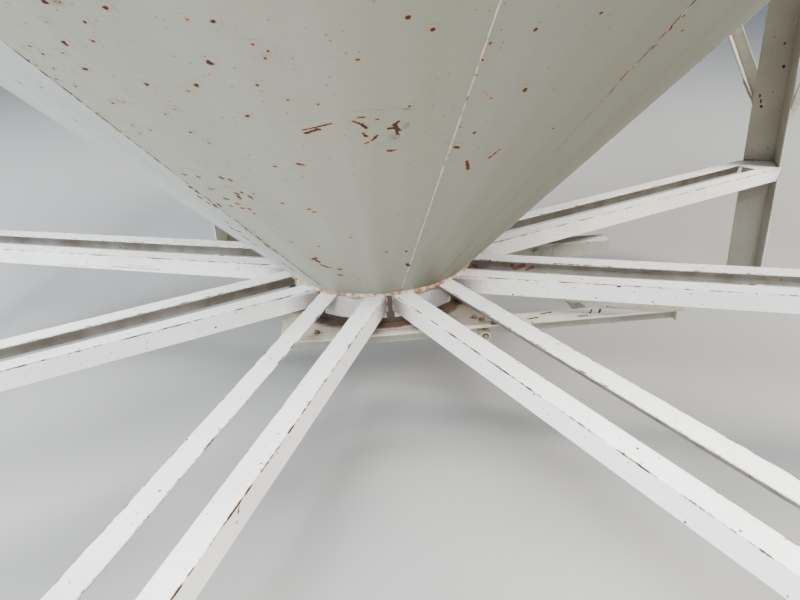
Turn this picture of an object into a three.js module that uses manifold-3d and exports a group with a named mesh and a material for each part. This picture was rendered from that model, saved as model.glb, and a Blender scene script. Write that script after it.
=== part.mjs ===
// Grain silo with a steel hopper bottom, in millimetres, +Z up.
// The origin is on the ground below the centre of the outlet. +X is the way the slide gate opens.
// A welded cone hangs between eight legs of angle iron. A pair of angle irons runs level from each
// leg to the collar of the outlet, and two diagonal angles brace each bay between two legs.
import * as THREE from 'three';
import { mergeVertices } from 'three/addons/utils/BufferGeometryUtils.js';
import Module from 'manifold-3d';

// Driving dimensions of the silo
const BAYS = 8;                // legs, strut pairs, bays and cone plates
const QUARTERS = 4;            // wall and roof segments
const BIN_R = 2250;            // outside radius of the round wall
const WALL_HEIGHT = 3660;      // three 4 ft courses
const SHEET = 5;               // wall, cone and roof plate
const FACETS = 64;             // flat strips round the wall, cone and roof
const STRUT_TOP = 660;         // top face of the strut pairs above the ground
const ANGLE = 63.5;            // leg width of the 2 1/2 in angle iron in struts and braces
const ANGLE_T = 6.4;
const PAIR_HALF = 115;         // outer face of a strut from the middle of its pair
const LEG_ANGLE = 152.4;       // 6 in angle iron of the legs
const LEG_T = 9.5;
const LEG_ABOVE_RIM = 300;     // the legs run this far up the wall
const BASE_HALF = 125;         // base plate of a leg
const BASE_T = 12;
const OUTLET_R = 330;          // outside radius of the 26 in collar and of the bottom of the cone
const THROAT_R = 322;          // clear hole through collar and gate
const ROOF_SLOPE = 30;         // degrees
const EAVE = 40;               // overhang of the roof
const HATCH_R = 300;           // filling neck in the middle of the roof
const NECK_DROP = 8;           // the neck hangs this far below the underside of the roof
const NECK_HEIGHT = 148;
const LID_PROUD = 25;          // the lid stands out round the neck
const LID_EDGE = 12;
const LID_RISE = 33;
const RIM_INSET = 4;           // the rim of the cone lies this far inside the wall's outer face
const BAND_T = 12;             // band round the foot of the wall
const BAND_HALF = 50;
const BAY_TURN = 2.2;          // degrees from the gate's line to the middle of a bay
const SEAM_TURN = 8.8;         // degrees from the gate's line to a seam of the cone
const BRACE_FOOT = 890;        // the diagonals meet the legs at this height
const GAP = 0.3;               // between touching pieces
const BITE = 1;                // overlap of shapes that are joined into one piece
const ROUND_SIDES = 24;        // flat strips round the shaft and its sleeves

// Driving dimensions of the slide gate
const GATE_HALF = 396;         // outer edge of the rails from the gate's line
const GATE_LEFT = -365;        // closed end of the gate's frame
const GATE_RIGHT = 1017;       // open end of the gate's rails
const PLATE_RIGHT = 346;       // open end of the plates under the collar
const RAIL_TOP = 543.4;
const RAIL_W = 73;             // flange of a rail, outwards
const RAIL_H = 65;             // web of a rail, on the side of the blade
const RAIL_T = 6.4;
const PLATE_T = 4.8;
const SPACER_T = 3;
const PLATE_STEP = 11.5;       // each plate ends this far inside the edge below it
const BLADE_TOP = 532;
const BLADE_T = 6;
const BLADE_HALF = 314;
const BLADE_LEFT = -326;
const BLADE_RIGHT = 338;
const SPLICE_LEFT = 768;       // the plate that joins the two lengths of a rail
const SPLICE_RIGHT = 822;
const ROLLER_R = 11;
const ROLLER_PLAY = 0.5;
const ROLLER_PLACES = [-290, -50, 190, 450, 690];
const RACK_H = 7;
const RACK_IN = 190;           // racks and pinions lie this far from the gate's line
const RACK_W = 25;
const SHAFT_X = 330;
const SHAFT_Z = 496;
const SHAFT_R = 12.5;
const SLEEVE_R = 19.5;

// Sizes that follow
const CONE_RIM_R = BIN_R - RIM_INSET;
const CONE_FOOT = STRUT_TOP + GAP;
const CONE_RIM = CONE_FOOT + CONE_RIM_R - OUTLET_R;
const WALL_FOOT = CONE_RIM + GAP;
const WALL_TOP = WALL_FOOT + WALL_HEIGHT;
const LEG_TOP = CONE_RIM + LEG_ABOVE_RIM;
const LEG_REACH = LEG_ANGLE / Math.SQRT2;
const TIP_T = LEG_T / Math.SQRT2;
const TIP_R = BIN_R - 1.5;     // the tips of a leg touch the wall off its middle line
const LEG_HEEL_R = TIP_R + LEG_REACH + TIP_T;
const BAY_ANGLE = 360 / BAYS;
const BAND_IN = BIN_R + 2 * GAP;
const BAND_OUT = BAND_IN + BAND_T;
const BAND_FOOT = CONE_RIM - BAND_HALF;
const BAND_TOP = CONE_RIM + BAND_HALF;
const SPACER_TOP = RAIL_TOP + GAP + SPACER_T;
const PLATE_TOP = SPACER_TOP + GAP + PLATE_T;
const RAIL_FOOT = RAIL_TOP - RAIL_H;
const WEB_IN = GATE_HALF - RAIL_W;

const wasm = await Module();
wasm.setup();

const silo = new THREE.Group();
silo.name = 'grain_silo';

// Materials
const paint = new THREE.MeshStandardMaterial({ color: '#c9c8c0', roughness: 0.55, metalness: 0 });
const strutPaint = new THREE.MeshStandardMaterial({ color: '#dcdad4', roughness: 0.6, metalness: 0 });
const gatePaint = new THREE.MeshStandardMaterial({ color: '#b9b3a2', roughness: 0.65, metalness: 0 });
const rustySteel = new THREE.MeshStandardMaterial({ color: '#5c4032', roughness: 0.8, metalness: 0.3 });

// Helpers
function radians(degrees) {
  return THREE.MathUtils.degToRad(degrees);
}

function solid(geometry) {
  const bare = geometry.clone();
  bare.deleteAttribute('normal');
  bare.deleteAttribute('uv');
  const merged = mergeVertices(bare, 1e-3);
  return new wasm.Manifold(new wasm.Mesh({
    numProp: 3,
    vertProperties: new Float32Array(merged.attributes.position.array),
    triVerts: new Uint32Array(merged.index.array),
  }));
}

function geometryOf(body) {
  const mesh = body.getMesh();
  const geometry = new THREE.BufferGeometry();
  geometry.setAttribute('position', new THREE.BufferAttribute(new Float32Array(mesh.vertProperties), 3));
  geometry.setIndex(new THREE.BufferAttribute(new Uint32Array(mesh.triVerts), 1));
  geometry.computeVertexNormals();
  return geometry;
}

function add(name, geometry, material, turn = 0) {
  const mesh = new THREE.Mesh(geometry, material);
  mesh.name = name;
  mesh.rotation.z = radians(turn);
  silo.add(mesh);
}

function box(low, high) {
  const size = high.map((value, axis) => value - low[axis]);
  const geometry = new THREE.BoxGeometry(...size);
  return geometry.translate(...high.map((value, axis) => (value + low[axis]) / 2));
}

// A box between two distances from the gate's line, on the side given by -1 or 1
function sideBox(side, x, y, z) {
  const across = [side * y[0], side * y[1]];
  return box([x[0], Math.min(...across), z[0]], [x[1], Math.max(...across), z[1]]);
}

// A closed ring turned from an outline of [radius, height] points, given anticlockwise
function turned(outline, sides = FACETS) {
  const points = outline.map(([radius, height]) => new THREE.Vector2(radius, height));
  points.push(points[0].clone());
  return new THREE.LatheGeometry(points, sides).rotateX(Math.PI / 2);
}

// A disc or plug turned from an outline that starts and ends on the axis
function turnedSolid(outline, sides = FACETS) {
  const points = outline.map(([radius, height]) => new THREE.Vector2(radius, height));
  return new THREE.LatheGeometry(points, sides).rotateX(Math.PI / 2);
}

// The part of a ring between two directions, in degrees, less half a gap at each side
function sector(ring, from, to) {
  const reach = BIN_R * 2;
  const half = radians((to - from) / 2);
  const middle = radians((to + from) / 2);
  const apex = GAP / 2 / Math.sin(half);
  const wedge = new THREE.Shape();
  wedge.moveTo(apex, 0);
  wedge.lineTo(apex + reach, -reach * Math.tan(half));
  wedge.lineTo(apex + reach, reach * Math.tan(half));
  const prism = new THREE.ExtrudeGeometry(wedge, { depth: reach * 2, bevelEnabled: false });
  prism.rotateZ(middle);
  return ring.intersect(solid(prism));
}

// An L section with its heel at the origin, one leg along +X or -X and the other along +Y
function angleSection(leg, thickness, hand = 1) {
  const shape = new THREE.Shape();
  shape.moveTo(0, 0);
  shape.lineTo(hand * leg, 0);
  shape.lineTo(hand * leg, thickness);
  shape.lineTo(hand * thickness, thickness);
  shape.lineTo(hand * thickness, leg);
  shape.lineTo(0, leg);
  return shape;
}

function extruded(shape, depth) {
  return new THREE.ExtrudeGeometry(shape, { depth, bevelEnabled: false });
}

function legDirection(index) {
  return BAY_TURN + BAY_ANGLE * (index + 0.5);
}

// Cone: eight rolled plates, welded edge to edge
function addCone() {
  const slant = SHEET * Math.SQRT2;
  const ring = solid(turned([
    [OUTLET_R, CONE_FOOT],
    [CONE_RIM_R, CONE_RIM],
    [CONE_RIM_R - slant, CONE_RIM],
    [OUTLET_R - slant, CONE_FOOT],
  ]));
  for (let index = 0; index < BAYS; index += 1) {
    const plate = sector(ring, BAY_ANGLE * index, BAY_ANGLE * (index + 1));
    add(`cone_plate_${index + 1}`, geometryOf(plate), paint, SEAM_TURN);
  }
}

// Height of the underside of the roof at a radius
function roofUnder(radius) {
  return WALL_TOP + GAP + (BIN_R - radius) * Math.tan(radians(ROOF_SLOPE));
}

// Round wall in quarters, and the roof on top of it
function addWallAndRoof() {
  const wall = solid(turned([
    [BIN_R, WALL_FOOT],
    [BIN_R, WALL_TOP],
    [BIN_R - SHEET, WALL_TOP],
    [BIN_R - SHEET, WALL_FOOT],
  ]));
  const depth = SHEET / Math.cos(radians(ROOF_SLOPE));
  const rim = BIN_R + EAVE;
  const hole = HATCH_R + GAP;
  const roof = solid(turned([
    [rim, roofUnder(rim)],
    [rim, roofUnder(rim) + depth],
    [hole, roofUnder(hole) + depth],
    [hole, roofUnder(hole)],
  ]));
  const step = 360 / QUARTERS;
  for (let index = 0; index < QUARTERS; index += 1) {
    const from = step * index;
    add(`wall_${index + 1}`, geometryOf(sector(wall, from, from + step)), paint, BAY_TURN);
    add(`roof_${index + 1}`, geometryOf(sector(roof, from, from + step)), paint, BAY_TURN);
  }
}

// Filling neck through the roof, and its low conical lid
function addNeckAndLid() {
  const foot = roofUnder(HATCH_R) - NECK_DROP;
  const top = foot + NECK_HEIGHT;
  add('filling_neck', turned([
    [HATCH_R, foot],
    [HATCH_R, top],
    [HATCH_R - SHEET, top],
    [HATCH_R - SHEET, foot],
  ]), paint, BAY_TURN);
  const lidR = HATCH_R + LID_PROUD;
  const lidFoot = top + GAP;
  const lidEdge = lidFoot + LID_EDGE;
  const lidTop = lidEdge + LID_RISE;
  const lid = turnedSolid([[0, lidFoot], [lidR, lidFoot], [lidR, lidEdge], [0, lidTop]]);
  add('neck_lid', lid, paint, BAY_TURN);
}

// Legs: an upright angle iron with its heel outwards, on a base plate
function addLegs() {
  const foot = BASE_T - BITE;
  const upright = extruded(angleSection(LEG_ANGLE, LEG_T), LEG_TOP - foot);
  upright.rotateZ(radians(135));
  upright.translate(LEG_HEEL_R, 0, foot);
  const middle = LEG_HEEL_R - LEG_REACH / 2;
  const plate = box([middle - BASE_HALF, -BASE_HALF, 0], [middle + BASE_HALF, BASE_HALF, BASE_T]);
  const leg = solid(upright).add(solid(plate));
  for (let index = 0; index < BAYS; index += 1) {
    add(`leg_${index + 1}`, geometryOf(leg), paint, legDirection(index));
  }
}

// One strut of a pair: flange on top, web on the outer side with its lower corner cut back at the leg.
// It starts inside the collar, and the collar's bore is cut out of the pair afterwards.
function strut(side) {
  const pastCollar = 80;
  const start = OUTLET_R - pastCollar;
  const end = TIP_R - GAP;
  const cutBack = 24;
  const low = STRUT_TOP - ANGLE;
  const profile = new THREE.Shape();
  profile.moveTo(start, low);
  profile.lineTo(end - cutBack, low);
  profile.lineTo(end, STRUT_TOP);
  profile.lineTo(start, STRUT_TOP);
  const web = extruded(profile, ANGLE_T);
  web.rotateX(Math.PI / 2);
  web.translate(0, side > 0 ? PAIR_HALF : -PAIR_HALF + ANGLE_T, 0);
  const flange = sideBox(side, [start, end], [PAIR_HALF - ANGLE, PAIR_HALF],
    [STRUT_TOP - ANGLE_T, STRUT_TOP]);
  return solid(web).add(solid(flange));
}

// Strut pairs: two level angle irons from the collar to the tips of a leg, with a seat plate there
function addStrutPairs() {
  const tip = TIP_R - GAP;
  const tipHalf = LEG_REACH - TIP_T - 2 * GAP;
  const seatLength = 110;
  const seatFront = TIP_R - seatLength;
  const seatHalf = PAIR_HALF - ANGLE_T;
  const corner = LEG_HEEL_R - LEG_T * Math.SQRT2 - 2 * GAP;
  const noseHalf = 2;
  const seat = new THREE.Shape();
  seat.moveTo(seatFront, -seatHalf);
  seat.lineTo(tip, -seatHalf);
  seat.lineTo(tip, -tipHalf);
  seat.lineTo(corner - noseHalf, -noseHalf);
  seat.lineTo(corner - noseHalf, noseHalf);
  seat.lineTo(tip, tipHalf);
  seat.lineTo(tip, seatHalf);
  seat.lineTo(seatFront, seatHalf);
  const plate = extruded(seat, ANGLE_T).translate(0, 0, STRUT_TOP - ANGLE_T);
  const boreR = OUTLET_R + GAP;
  const bore = turnedSolid([[0, 0], [boreR, 0], [boreR, STRUT_TOP * 2], [0, STRUT_TOP * 2]]);
  const pair = strut(-1).add(strut(1)).add(solid(plate)).subtract(solid(bore));
  for (let index = 0; index < BAYS; index += 1) {
    add(`strut_pair_${index + 1}`, geometryOf(pair), strutPaint, legDirection(index));
  }
}

// The middle of the outer face of the leg's wing that looks into the bay, off by a distance
function wingPoint(side, off) {
  const point = new THREE.Vector3(LEG_HEEL_R - LEG_REACH / 2, -side * LEG_REACH / 2, BRACE_FOOT);
  point.addScaledVector(new THREE.Vector3(Math.SQRT1_2, -side * Math.SQRT1_2, 0), off);
  return point.applyAxisAngle(new THREE.Vector3(0, 0, 1), side * radians(BAY_ANGLE / 2));
}

// A block that fills the leg's side of the wing's outer face
function wingSide(side) {
  const deep = 600;
  const halfWide = 400;
  const halfHigh = 700;
  const block = box([-deep, -halfWide, -halfHigh], [0, halfWide, halfHigh]);
  block.rotateZ(side * radians(BAY_ANGLE / 2) - side * radians(45));
  const face = wingPoint(side, GAP);
  return solid(block.translate(face.x, face.y, face.z));
}

// A diagonal angle iron of a bay. One leg lies along the wall, the other points inwards along the
// lower edge. It ends at the wing of the leg and behind the gusset of the band.
function diagonal(side) {
  const foot = wingPoint(side, 0);
  const gussetLap = 20;
  const head = new THREE.Vector3(BAND_OUT, side * gussetLap, BAND_FOOT - gussetLap);
  const along = head.clone().sub(foot).normalize();
  const inward = new THREE.Vector3(-1, 0, 0);
  inward.addScaledVector(along, -inward.dot(along)).normalize();
  const across = new THREE.Vector3().crossVectors(inward, along);
  const pastFoot = 120;
  const pastHead = 30;
  const start = foot.clone();
  start.addScaledVector(along, -pastFoot);
  start.addScaledVector(across, -side * ANGLE / 2);
  const bar = extruded(angleSection(ANGLE, ANGLE_T, side), head.distanceTo(foot) + pastFoot + pastHead);
  bar.applyMatrix4(new THREE.Matrix4().makeBasis(across, inward, along).setPosition(start));
  return solid(bar).subtract(wingSide(side));
}

// Bays: a band round the foot of the wall between two legs, its gusset, and two diagonals
function addBays() {
  const legSpace = 125;
  const gussetHalf = 120;
  const gussetDrop = 110;
  const gussetProud = 4;
  const coneClear = 8;
  const reach = BAY_ANGLE / 2 - THREE.MathUtils.radToDeg(Math.asin(legSpace / BAND_OUT));
  const band = solid(turned([
    [BAND_OUT, BAND_FOOT],
    [BAND_OUT, BAND_TOP],
    [BAND_IN, BAND_TOP],
    [BAND_IN, BAND_FOOT],
  ]));
  const gusset = box([BAND_IN - gussetProud, -gussetHalf, BAND_FOOT - gussetDrop],
    [BAND_OUT + gussetProud, gussetHalf, BAND_TOP]);
  const meet = CONE_RIM - (CONE_RIM_R + coneClear - BAND_IN);
  const inside = turnedSolid([
    [0, CONE_FOOT],
    [OUTLET_R + coneClear, CONE_FOOT],
    [BAND_IN, meet],
    [BAND_IN, LEG_TOP],
    [0, LEG_TOP],
  ]);
  let bay = sector(band, -reach, reach).add(solid(gusset));
  bay = bay.add(diagonal(-1)).add(diagonal(1)).subtract(solid(inside));
  for (let index = 0; index < BAYS; index += 1) {
    add(`bay_frame_${index + 1}`, geometryOf(bay), paint, BAY_TURN + BAY_ANGLE * index);
  }
}

// Collar: a short pipe with a thin spigot that stands on the plates of the gate
function addCollar() {
  const lip = 573;
  const spigotT = 6;
  const spigotR = THROAT_R + spigotT;
  const foot = PLATE_TOP + GAP;
  add('outlet_collar', turned([
    [THROAT_R, foot],
    [spigotR, foot],
    [spigotR, lip],
    [OUTLET_R, lip],
    [OUTLET_R, STRUT_TOP],
    [THROAT_R, STRUT_TOP],
  ]), paint, BAY_TURN);
}

// A plate under the collar, with the outlet's hole
function holedPlate(half, thickness) {
  const holeClear = 1;
  const plate = new THREE.Shape();
  plate.moveTo(GATE_LEFT, -half);
  plate.lineTo(PLATE_RIGHT, -half);
  plate.lineTo(PLATE_RIGHT, half);
  plate.lineTo(GATE_LEFT, half);
  const hole = new THREE.Path();
  hole.absarc(0, 0, THROAT_R + holeClear, 0, Math.PI * 2, true);
  plate.holes.push(hole);
  return new THREE.ExtrudeGeometry(plate, { depth: thickness, bevelEnabled: false, curveSegments: FACETS });
}

function addGatePlates() {
  const spacer = holedPlate(GATE_HALF - PLATE_STEP, SPACER_T);
  add('gate_spacer_plate', spacer.translate(0, 0, SPACER_TOP - SPACER_T), gatePaint);
  const top = holedPlate(GATE_HALF - 2 * PLATE_STEP, PLATE_T);
  add('gate_top_plate', top.translate(0, 0, PLATE_TOP - PLATE_T), gatePaint);
}

// Rails: angle irons with the flange outwards on top and the web beside the blade. Each has rollers
// for the blade, a splice plate, an end cap and a hole for the shaft's sleeve.
function addRails() {
  const webOut = WEB_IN + RAIL_T;
  const rollerZ = BLADE_TOP - BLADE_T - ROLLER_PLAY - ROLLER_R;
  const rollerW = 20;
  const rollerSides = 16;
  const spliceT = 3;
  const capT = 6;
  const capW = 24;
  const low = RAIL_FOOT + 2;
  for (const [name, side] of [['rail_front', -1], ['rail_rear', 1]]) {
    const web = sideBox(side, [GATE_LEFT, GATE_RIGHT], [WEB_IN, webOut], [RAIL_FOOT, RAIL_TOP]);
    const flange = sideBox(side, [GATE_LEFT, GATE_RIGHT], [WEB_IN, GATE_HALF],
      [RAIL_TOP - RAIL_T, RAIL_TOP]);
    const splice = sideBox(side, [SPLICE_LEFT, SPLICE_RIGHT], [WEB_IN - spliceT, webOut],
      [low, RAIL_TOP - RAIL_T]);
    const cap = sideBox(side, [GATE_RIGHT - capT, GATE_RIGHT], [WEB_IN, webOut + capW], [low, RAIL_TOP]);
    let rail = solid(web).add(solid(flange)).add(solid(splice)).add(solid(cap));
    for (const place of ROLLER_PLACES) {
      const roller = new THREE.CylinderGeometry(ROLLER_R, ROLLER_R, rollerW + BITE, rollerSides);
      roller.translate(place, side * (WEB_IN + BITE - (rollerW + BITE) / 2), rollerZ);
      rail = rail.add(solid(roller));
    }
    const hole = new THREE.CylinderGeometry(SLEEVE_R + GAP, SLEEVE_R + GAP, RAIL_W, ROUND_SIDES);
    rail = rail.subtract(solid(hole.translate(SHAFT_X, side * webOut, SHAFT_Z)));
    add(name, geometryOf(rail), gatePaint);
  }
}

// Bars between the rails: a stop at the closed end, and a flat bar below the path of the blade
function addGateBars() {
  const between = WEB_IN - GAP;
  const stopW = 30;
  const stopRight = GATE_LEFT + stopW;
  const crossLeft = 690;
  const crossW = 50;
  const crossT = 8;
  const crossRight = crossLeft + crossW;
  const crossTop = RAIL_FOOT + crossT;
  add('gate_stop_bar', box([GATE_LEFT, -between, RAIL_FOOT], [stopRight, between, RAIL_TOP]), gatePaint);
  add('gate_cross_bar', box([crossLeft, -between, RAIL_FOOT], [crossRight, between, crossTop]), gatePaint);
}

// The blade, with a rack below each side
function addBlade() {
  const under = BLADE_TOP - BLADE_T;
  const rackInset = 2;
  const rackPast = 12;
  let blade = solid(box([BLADE_LEFT, -BLADE_HALF, under], [BLADE_RIGHT, BLADE_HALF, BLADE_TOP]));
  for (const side of [-1, 1]) {
    const rack = sideBox(side, [BLADE_LEFT + rackInset, BLADE_RIGHT + rackPast],
      [RACK_IN, RACK_IN + RACK_W], [under - RACK_H, under + BITE]);
    blade = blade.add(solid(rack));
  }
  add('gate_blade', geometryOf(blade), rustySteel);
}

// The pinion shaft runs across below the blade in two sleeves, with turned-down ends for a crank
function addShaft() {
  const end = 388;
  const shoulder = 366;
  const endR = 8;
  const hubR = 18;
  const hubPast = 8;
  const hubIn = RACK_IN - hubPast;
  const hubOut = RACK_IN + RACK_W + hubPast;
  const half = [[SHAFT_R, hubIn], [hubR, hubIn], [hubR, hubOut], [SHAFT_R, hubOut],
    [SHAFT_R, shoulder], [endR, shoulder], [endR, end], [0, end]];
  const outline = half.map(([radius, at]) => [radius, -at]).reverse().concat(half);
  const turnedHalf = outline.map(([radius, at]) => new THREE.Vector2(radius, at));
  const shaft = new THREE.LatheGeometry(turnedHalf, ROUND_SIDES);
  add('pinion_shaft', shaft.translate(SHAFT_X, 0, SHAFT_Z), rustySteel);
  const play = 0.5;
  const bore = SHAFT_R + play;
  const sleeveLength = 84;
  const sleeveEnd = 384;
  for (const [name, side] of [['shaft_sleeve_front', -1], ['shaft_sleeve_rear', 1]]) {
    const from = side < 0 ? -sleeveEnd : sleeveEnd - sleeveLength;
    const to = from + sleeveLength;
    const ring = [[SLEEVE_R, from], [SLEEVE_R, to], [bore, to], [bore, from], [SLEEVE_R, from]];
    const outer = ring.map(([radius, at]) => new THREE.Vector2(radius, at));
    const sleeve = new THREE.LatheGeometry(outer, ROUND_SIDES);
    add(name, sleeve.translate(SHAFT_X, 0, SHAFT_Z), gatePaint);
  }
}

addCone();
addWallAndRoof();
addNeckAndLid();
addLegs();
addStrutPairs();
addBays();
addCollar();
addGatePlates();
addRails();
addGateBars();
addBlade();
addShaft();

export default silo;
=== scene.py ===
# %% [markdown]
# # A grain silo with a steel hopper bottom
# Farms store grain in a round steel bin. This one empties through a welded cone that hangs between
# eight legs of angle iron. Level pairs of angle irons tie every leg to the collar of the outlet, and
# a slide gate under the collar lets the grain out. The photograph looks in from just outside the
# rim, so the cone, the collar, the struts and the gate get most of the work here.
#
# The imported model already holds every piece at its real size. This script gives the pieces their
# finish, rounds their edges, and adds what is too fine for the model: weld beads, bolts and teeth.

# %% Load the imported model
import math
import random
from collections import namedtuple

import bmesh
import bpy
from mathutils import Matrix, Vector, noise


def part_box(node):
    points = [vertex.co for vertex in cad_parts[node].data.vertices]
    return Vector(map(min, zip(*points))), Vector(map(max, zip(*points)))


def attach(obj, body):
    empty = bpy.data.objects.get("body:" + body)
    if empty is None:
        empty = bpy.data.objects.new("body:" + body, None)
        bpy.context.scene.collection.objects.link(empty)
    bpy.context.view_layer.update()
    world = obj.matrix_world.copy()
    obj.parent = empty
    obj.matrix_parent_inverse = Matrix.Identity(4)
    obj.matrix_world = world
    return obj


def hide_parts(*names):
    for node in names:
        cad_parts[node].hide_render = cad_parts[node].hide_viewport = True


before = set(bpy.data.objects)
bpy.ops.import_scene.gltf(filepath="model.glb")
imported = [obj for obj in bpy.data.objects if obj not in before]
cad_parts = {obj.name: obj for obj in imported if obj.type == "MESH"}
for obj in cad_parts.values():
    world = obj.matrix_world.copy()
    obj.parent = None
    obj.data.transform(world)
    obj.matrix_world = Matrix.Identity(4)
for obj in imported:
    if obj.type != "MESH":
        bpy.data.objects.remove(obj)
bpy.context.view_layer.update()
random.seed(7)

# %% [markdown]
# ## Measures from the frame
# Blender works in metres and a fabricator in millimetres, so every size here is in millimetres and
# is turned to metres where a mesh is placed. The radii and heights are read from the nodes. That
# way a bead or a bolt still sits on its plate if the plate changes.

# %% Read radii and heights of the round pieces
MM = 0.001
Reach = namedtuple("Reach", "inner outer foot top")


def reach(name, above=-1):
    """Smallest and largest radius, lowest and highest point of a node above a height, in millimetres."""
    points = [vertex.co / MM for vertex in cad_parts[name].data.vertices if vertex.co.z > above * MM]
    radii = [math.hypot(point.x, point.y) for point in points]
    heights = [point.z for point in points]
    return Reach(min(radii), max(radii), min(heights), max(heights))


def corners(name):
    """Lowest and highest corner of a node, in millimetres."""
    low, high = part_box(name)
    return low / MM, high / MM


cone, wall, strut = reach("cone_plate_1"), reach("wall_1"), reach("strut_pair_1")
collar = reach("outlet_collar")
OUTLET_R = cone.outer - (cone.top - cone.foot)
leg = reach("leg_1", above=cone.foot)       # the upright, without its base plate
LEG_IRON, LEG_T = 152.4, 9.5
LEG_REACH = LEG_IRON / math.sqrt(2)         # from the heel to the line between the tips of the wings
LEG_TIP_T = LEG_T / math.sqrt(2)
print(f"outlet radius {OUTLET_R:.0f}, rim radius {cone.outer:.0f}, cone {cone.foot:.0f} to {cone.top:.0f}")
print(f"wall {wall.foot:.0f} to {wall.top:.0f}, strut top {strut.top:.0f}, throat radius {collar.inner:.0f}")
print(f"heel of a leg at radius {leg.outer:.0f}, legs up to {leg.top:.0f}")

# %% [markdown]
# The silo repeats round its axis: eight bays, eight seams of the cone and four quarters of the
# wall. So most places are worked out once, on the X axis, and then turned.

# %% Turn about the silo's axis
BAYS = 8
QUARTERS = 4
BAY_TURN = 2.2      # degrees from the gate's line to the middle of a bay
SEAM_TURN = 8.8     # degrees from the gate's line to a seam of the cone
BAY_ANGLE = 360 / BAYS
QUARTER = 360 / QUARTERS


def turned_by(degrees):
    """A rotation about the silo's axis."""
    return Matrix.Rotation(math.radians(degrees), 4, "Z")


def leg_direction(index):
    """Direction of a leg, in degrees, counted from 1 as in the node's name."""
    return BAY_TURN + BAY_ANGLE * (index - 0.5)


print("legs stand at", [round(leg_direction(index), 1) for index in range(1, BAYS + 1)])

# %% [markdown]
# ## The camera
# The photograph was taken with a phone held at head height, just outside the rim between two legs,
# looking down and slightly tilted. Its place was found by matching the edges of the struts, the cone
# and the gate. Three angles turn the camera: yaw about the vertical, pitch down, and roll.

# %% Place the camera
CAMERA_AT = Vector((-70.5, -2417.3, 1599.3))
YAW = math.radians(3.228)
PITCH = math.radians(-24.753)
ROLL = math.radians(-3.343)
LENS = 30.55                # millimetres, on a sensor 36 mm wide
SENSOR = 36.0
IMAGE = (800, 600)
FOCAL_PIXELS = LENS / SENSOR * IMAGE[0]

forward = Vector((math.sin(YAW) * math.cos(PITCH), math.cos(YAW) * math.cos(PITCH), math.sin(PITCH)))
level = Vector((math.cos(YAW), -math.sin(YAW), 0))
upright = level.cross(forward)
right = level * math.cos(ROLL) + upright * math.sin(ROLL)
up = upright * math.cos(ROLL) - level * math.sin(ROLL)

camera_data = bpy.data.cameras.new("camera")
camera_data.lens = LENS
camera_data.sensor_width = SENSOR
camera_data.clip_start = 0.01
camera = bpy.data.objects.new("camera", camera_data)
camera_turn = Matrix((right, up, -forward)).transposed().to_4x4()
camera.matrix_world = Matrix.Translation(CAMERA_AT * MM) @ camera_turn
bpy.context.collection.objects.link(camera)
bpy.context.scene.camera = camera
print("camera focal length in pixels:", round(FOCAL_PIXELS, 1))

# %% [markdown]
# ## Two helpers for shaders
# Every material is a small tree of nodes. One function adds a node, sets it, links it and hands back
# the output that the next node reads, so a recipe reads from top to bottom. Colours are written
# as on a paint chart, in sRGB hex, and another function turns them to the linear values of a shader.

# %% Add a node with its settings and links


def add_node(tree, kind, links, out=0, **settings):
    """Adds a node and gives one of its outputs, or all where out is None.

    Links maps an input to a value, or to the output socket that feeds it.
    """
    made = tree.nodes.new("ShaderNode" + kind)
    for key, value in settings.items():
        setattr(made, key, value)
    for key, value in links.items():
        if isinstance(value, bpy.types.NodeSocket):
            tree.links.new(value, made.inputs[key])
        else:
            made.inputs[key].default_value = value
    return made.outputs if out is None else made.outputs[out]


def linear(code):
    """The linear colour that a shader takes, from an sRGB hex value."""
    channels = [int(code[at:at + 2], 16) / 255 for at in (1, 3, 5)]
    return [c / 12.92 if c <= 0.04045 else ((c + 0.055) / 1.055) ** 2.4 for c in channels] + [1.0]


# %% [markdown]
# ## Floor and light
# The real silo stands in the open under a bright overcast sky. A pale floor and a grey world stand in
# for it, with broad soft lights at the sides, since the bin shades everything right below it.

# %% Lay the floor
FLOOR_SIZE = 60000
floor_mesh = bmesh.new()
bmesh.ops.create_grid(floor_mesh, x_segments=1, y_segments=1, size=FLOOR_SIZE / 2 * MM)
floor_data = bpy.data.meshes.new("floor")
floor_mesh.to_mesh(floor_data)
floor_mesh.free()
floor = bpy.data.objects.new("floor", floor_data)
bpy.context.collection.objects.link(floor)
floor_paper = bpy.data.materials.new("studio_floor")
floor_paper.use_nodes = True
floor_shader = floor_paper.node_tree.nodes["Principled BSDF"]
floor_shader.inputs["Base Color"].default_value = linear("#8f8d88")
floor_shader.inputs["Roughness"].default_value = 0.9
floor_data.materials.append(floor_paper)
print("floor in metres:", FLOOR_SIZE * MM)

# %% Light the sky and the sides
SKY_RISE = 0.7              # sine of the height above the horizon at which the sky is brightest
SKY_LIGHT = (0.15, 1.2)     # strength at the horizon and from that height up

world = bpy.data.worlds.new("overcast")
world.use_nodes = True
sky = world.node_tree
sky_height = add_node(sky, "SeparateXYZ", {"Vector": add_node(sky, "TexCoord", {}, "Generated")}, "Z")
sky_light = add_node(sky, "MapRange", {"Value": sky_height, "From Max": SKY_RISE, "To Min": SKY_LIGHT[0],
                                       "To Max": SKY_LIGHT[1]})
sky.links.new(sky_light, sky.nodes["Background"].inputs["Strength"])
sky.nodes["Background"].inputs["Color"].default_value = linear("#cbdaf0")
bpy.context.scene.world = world


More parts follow.
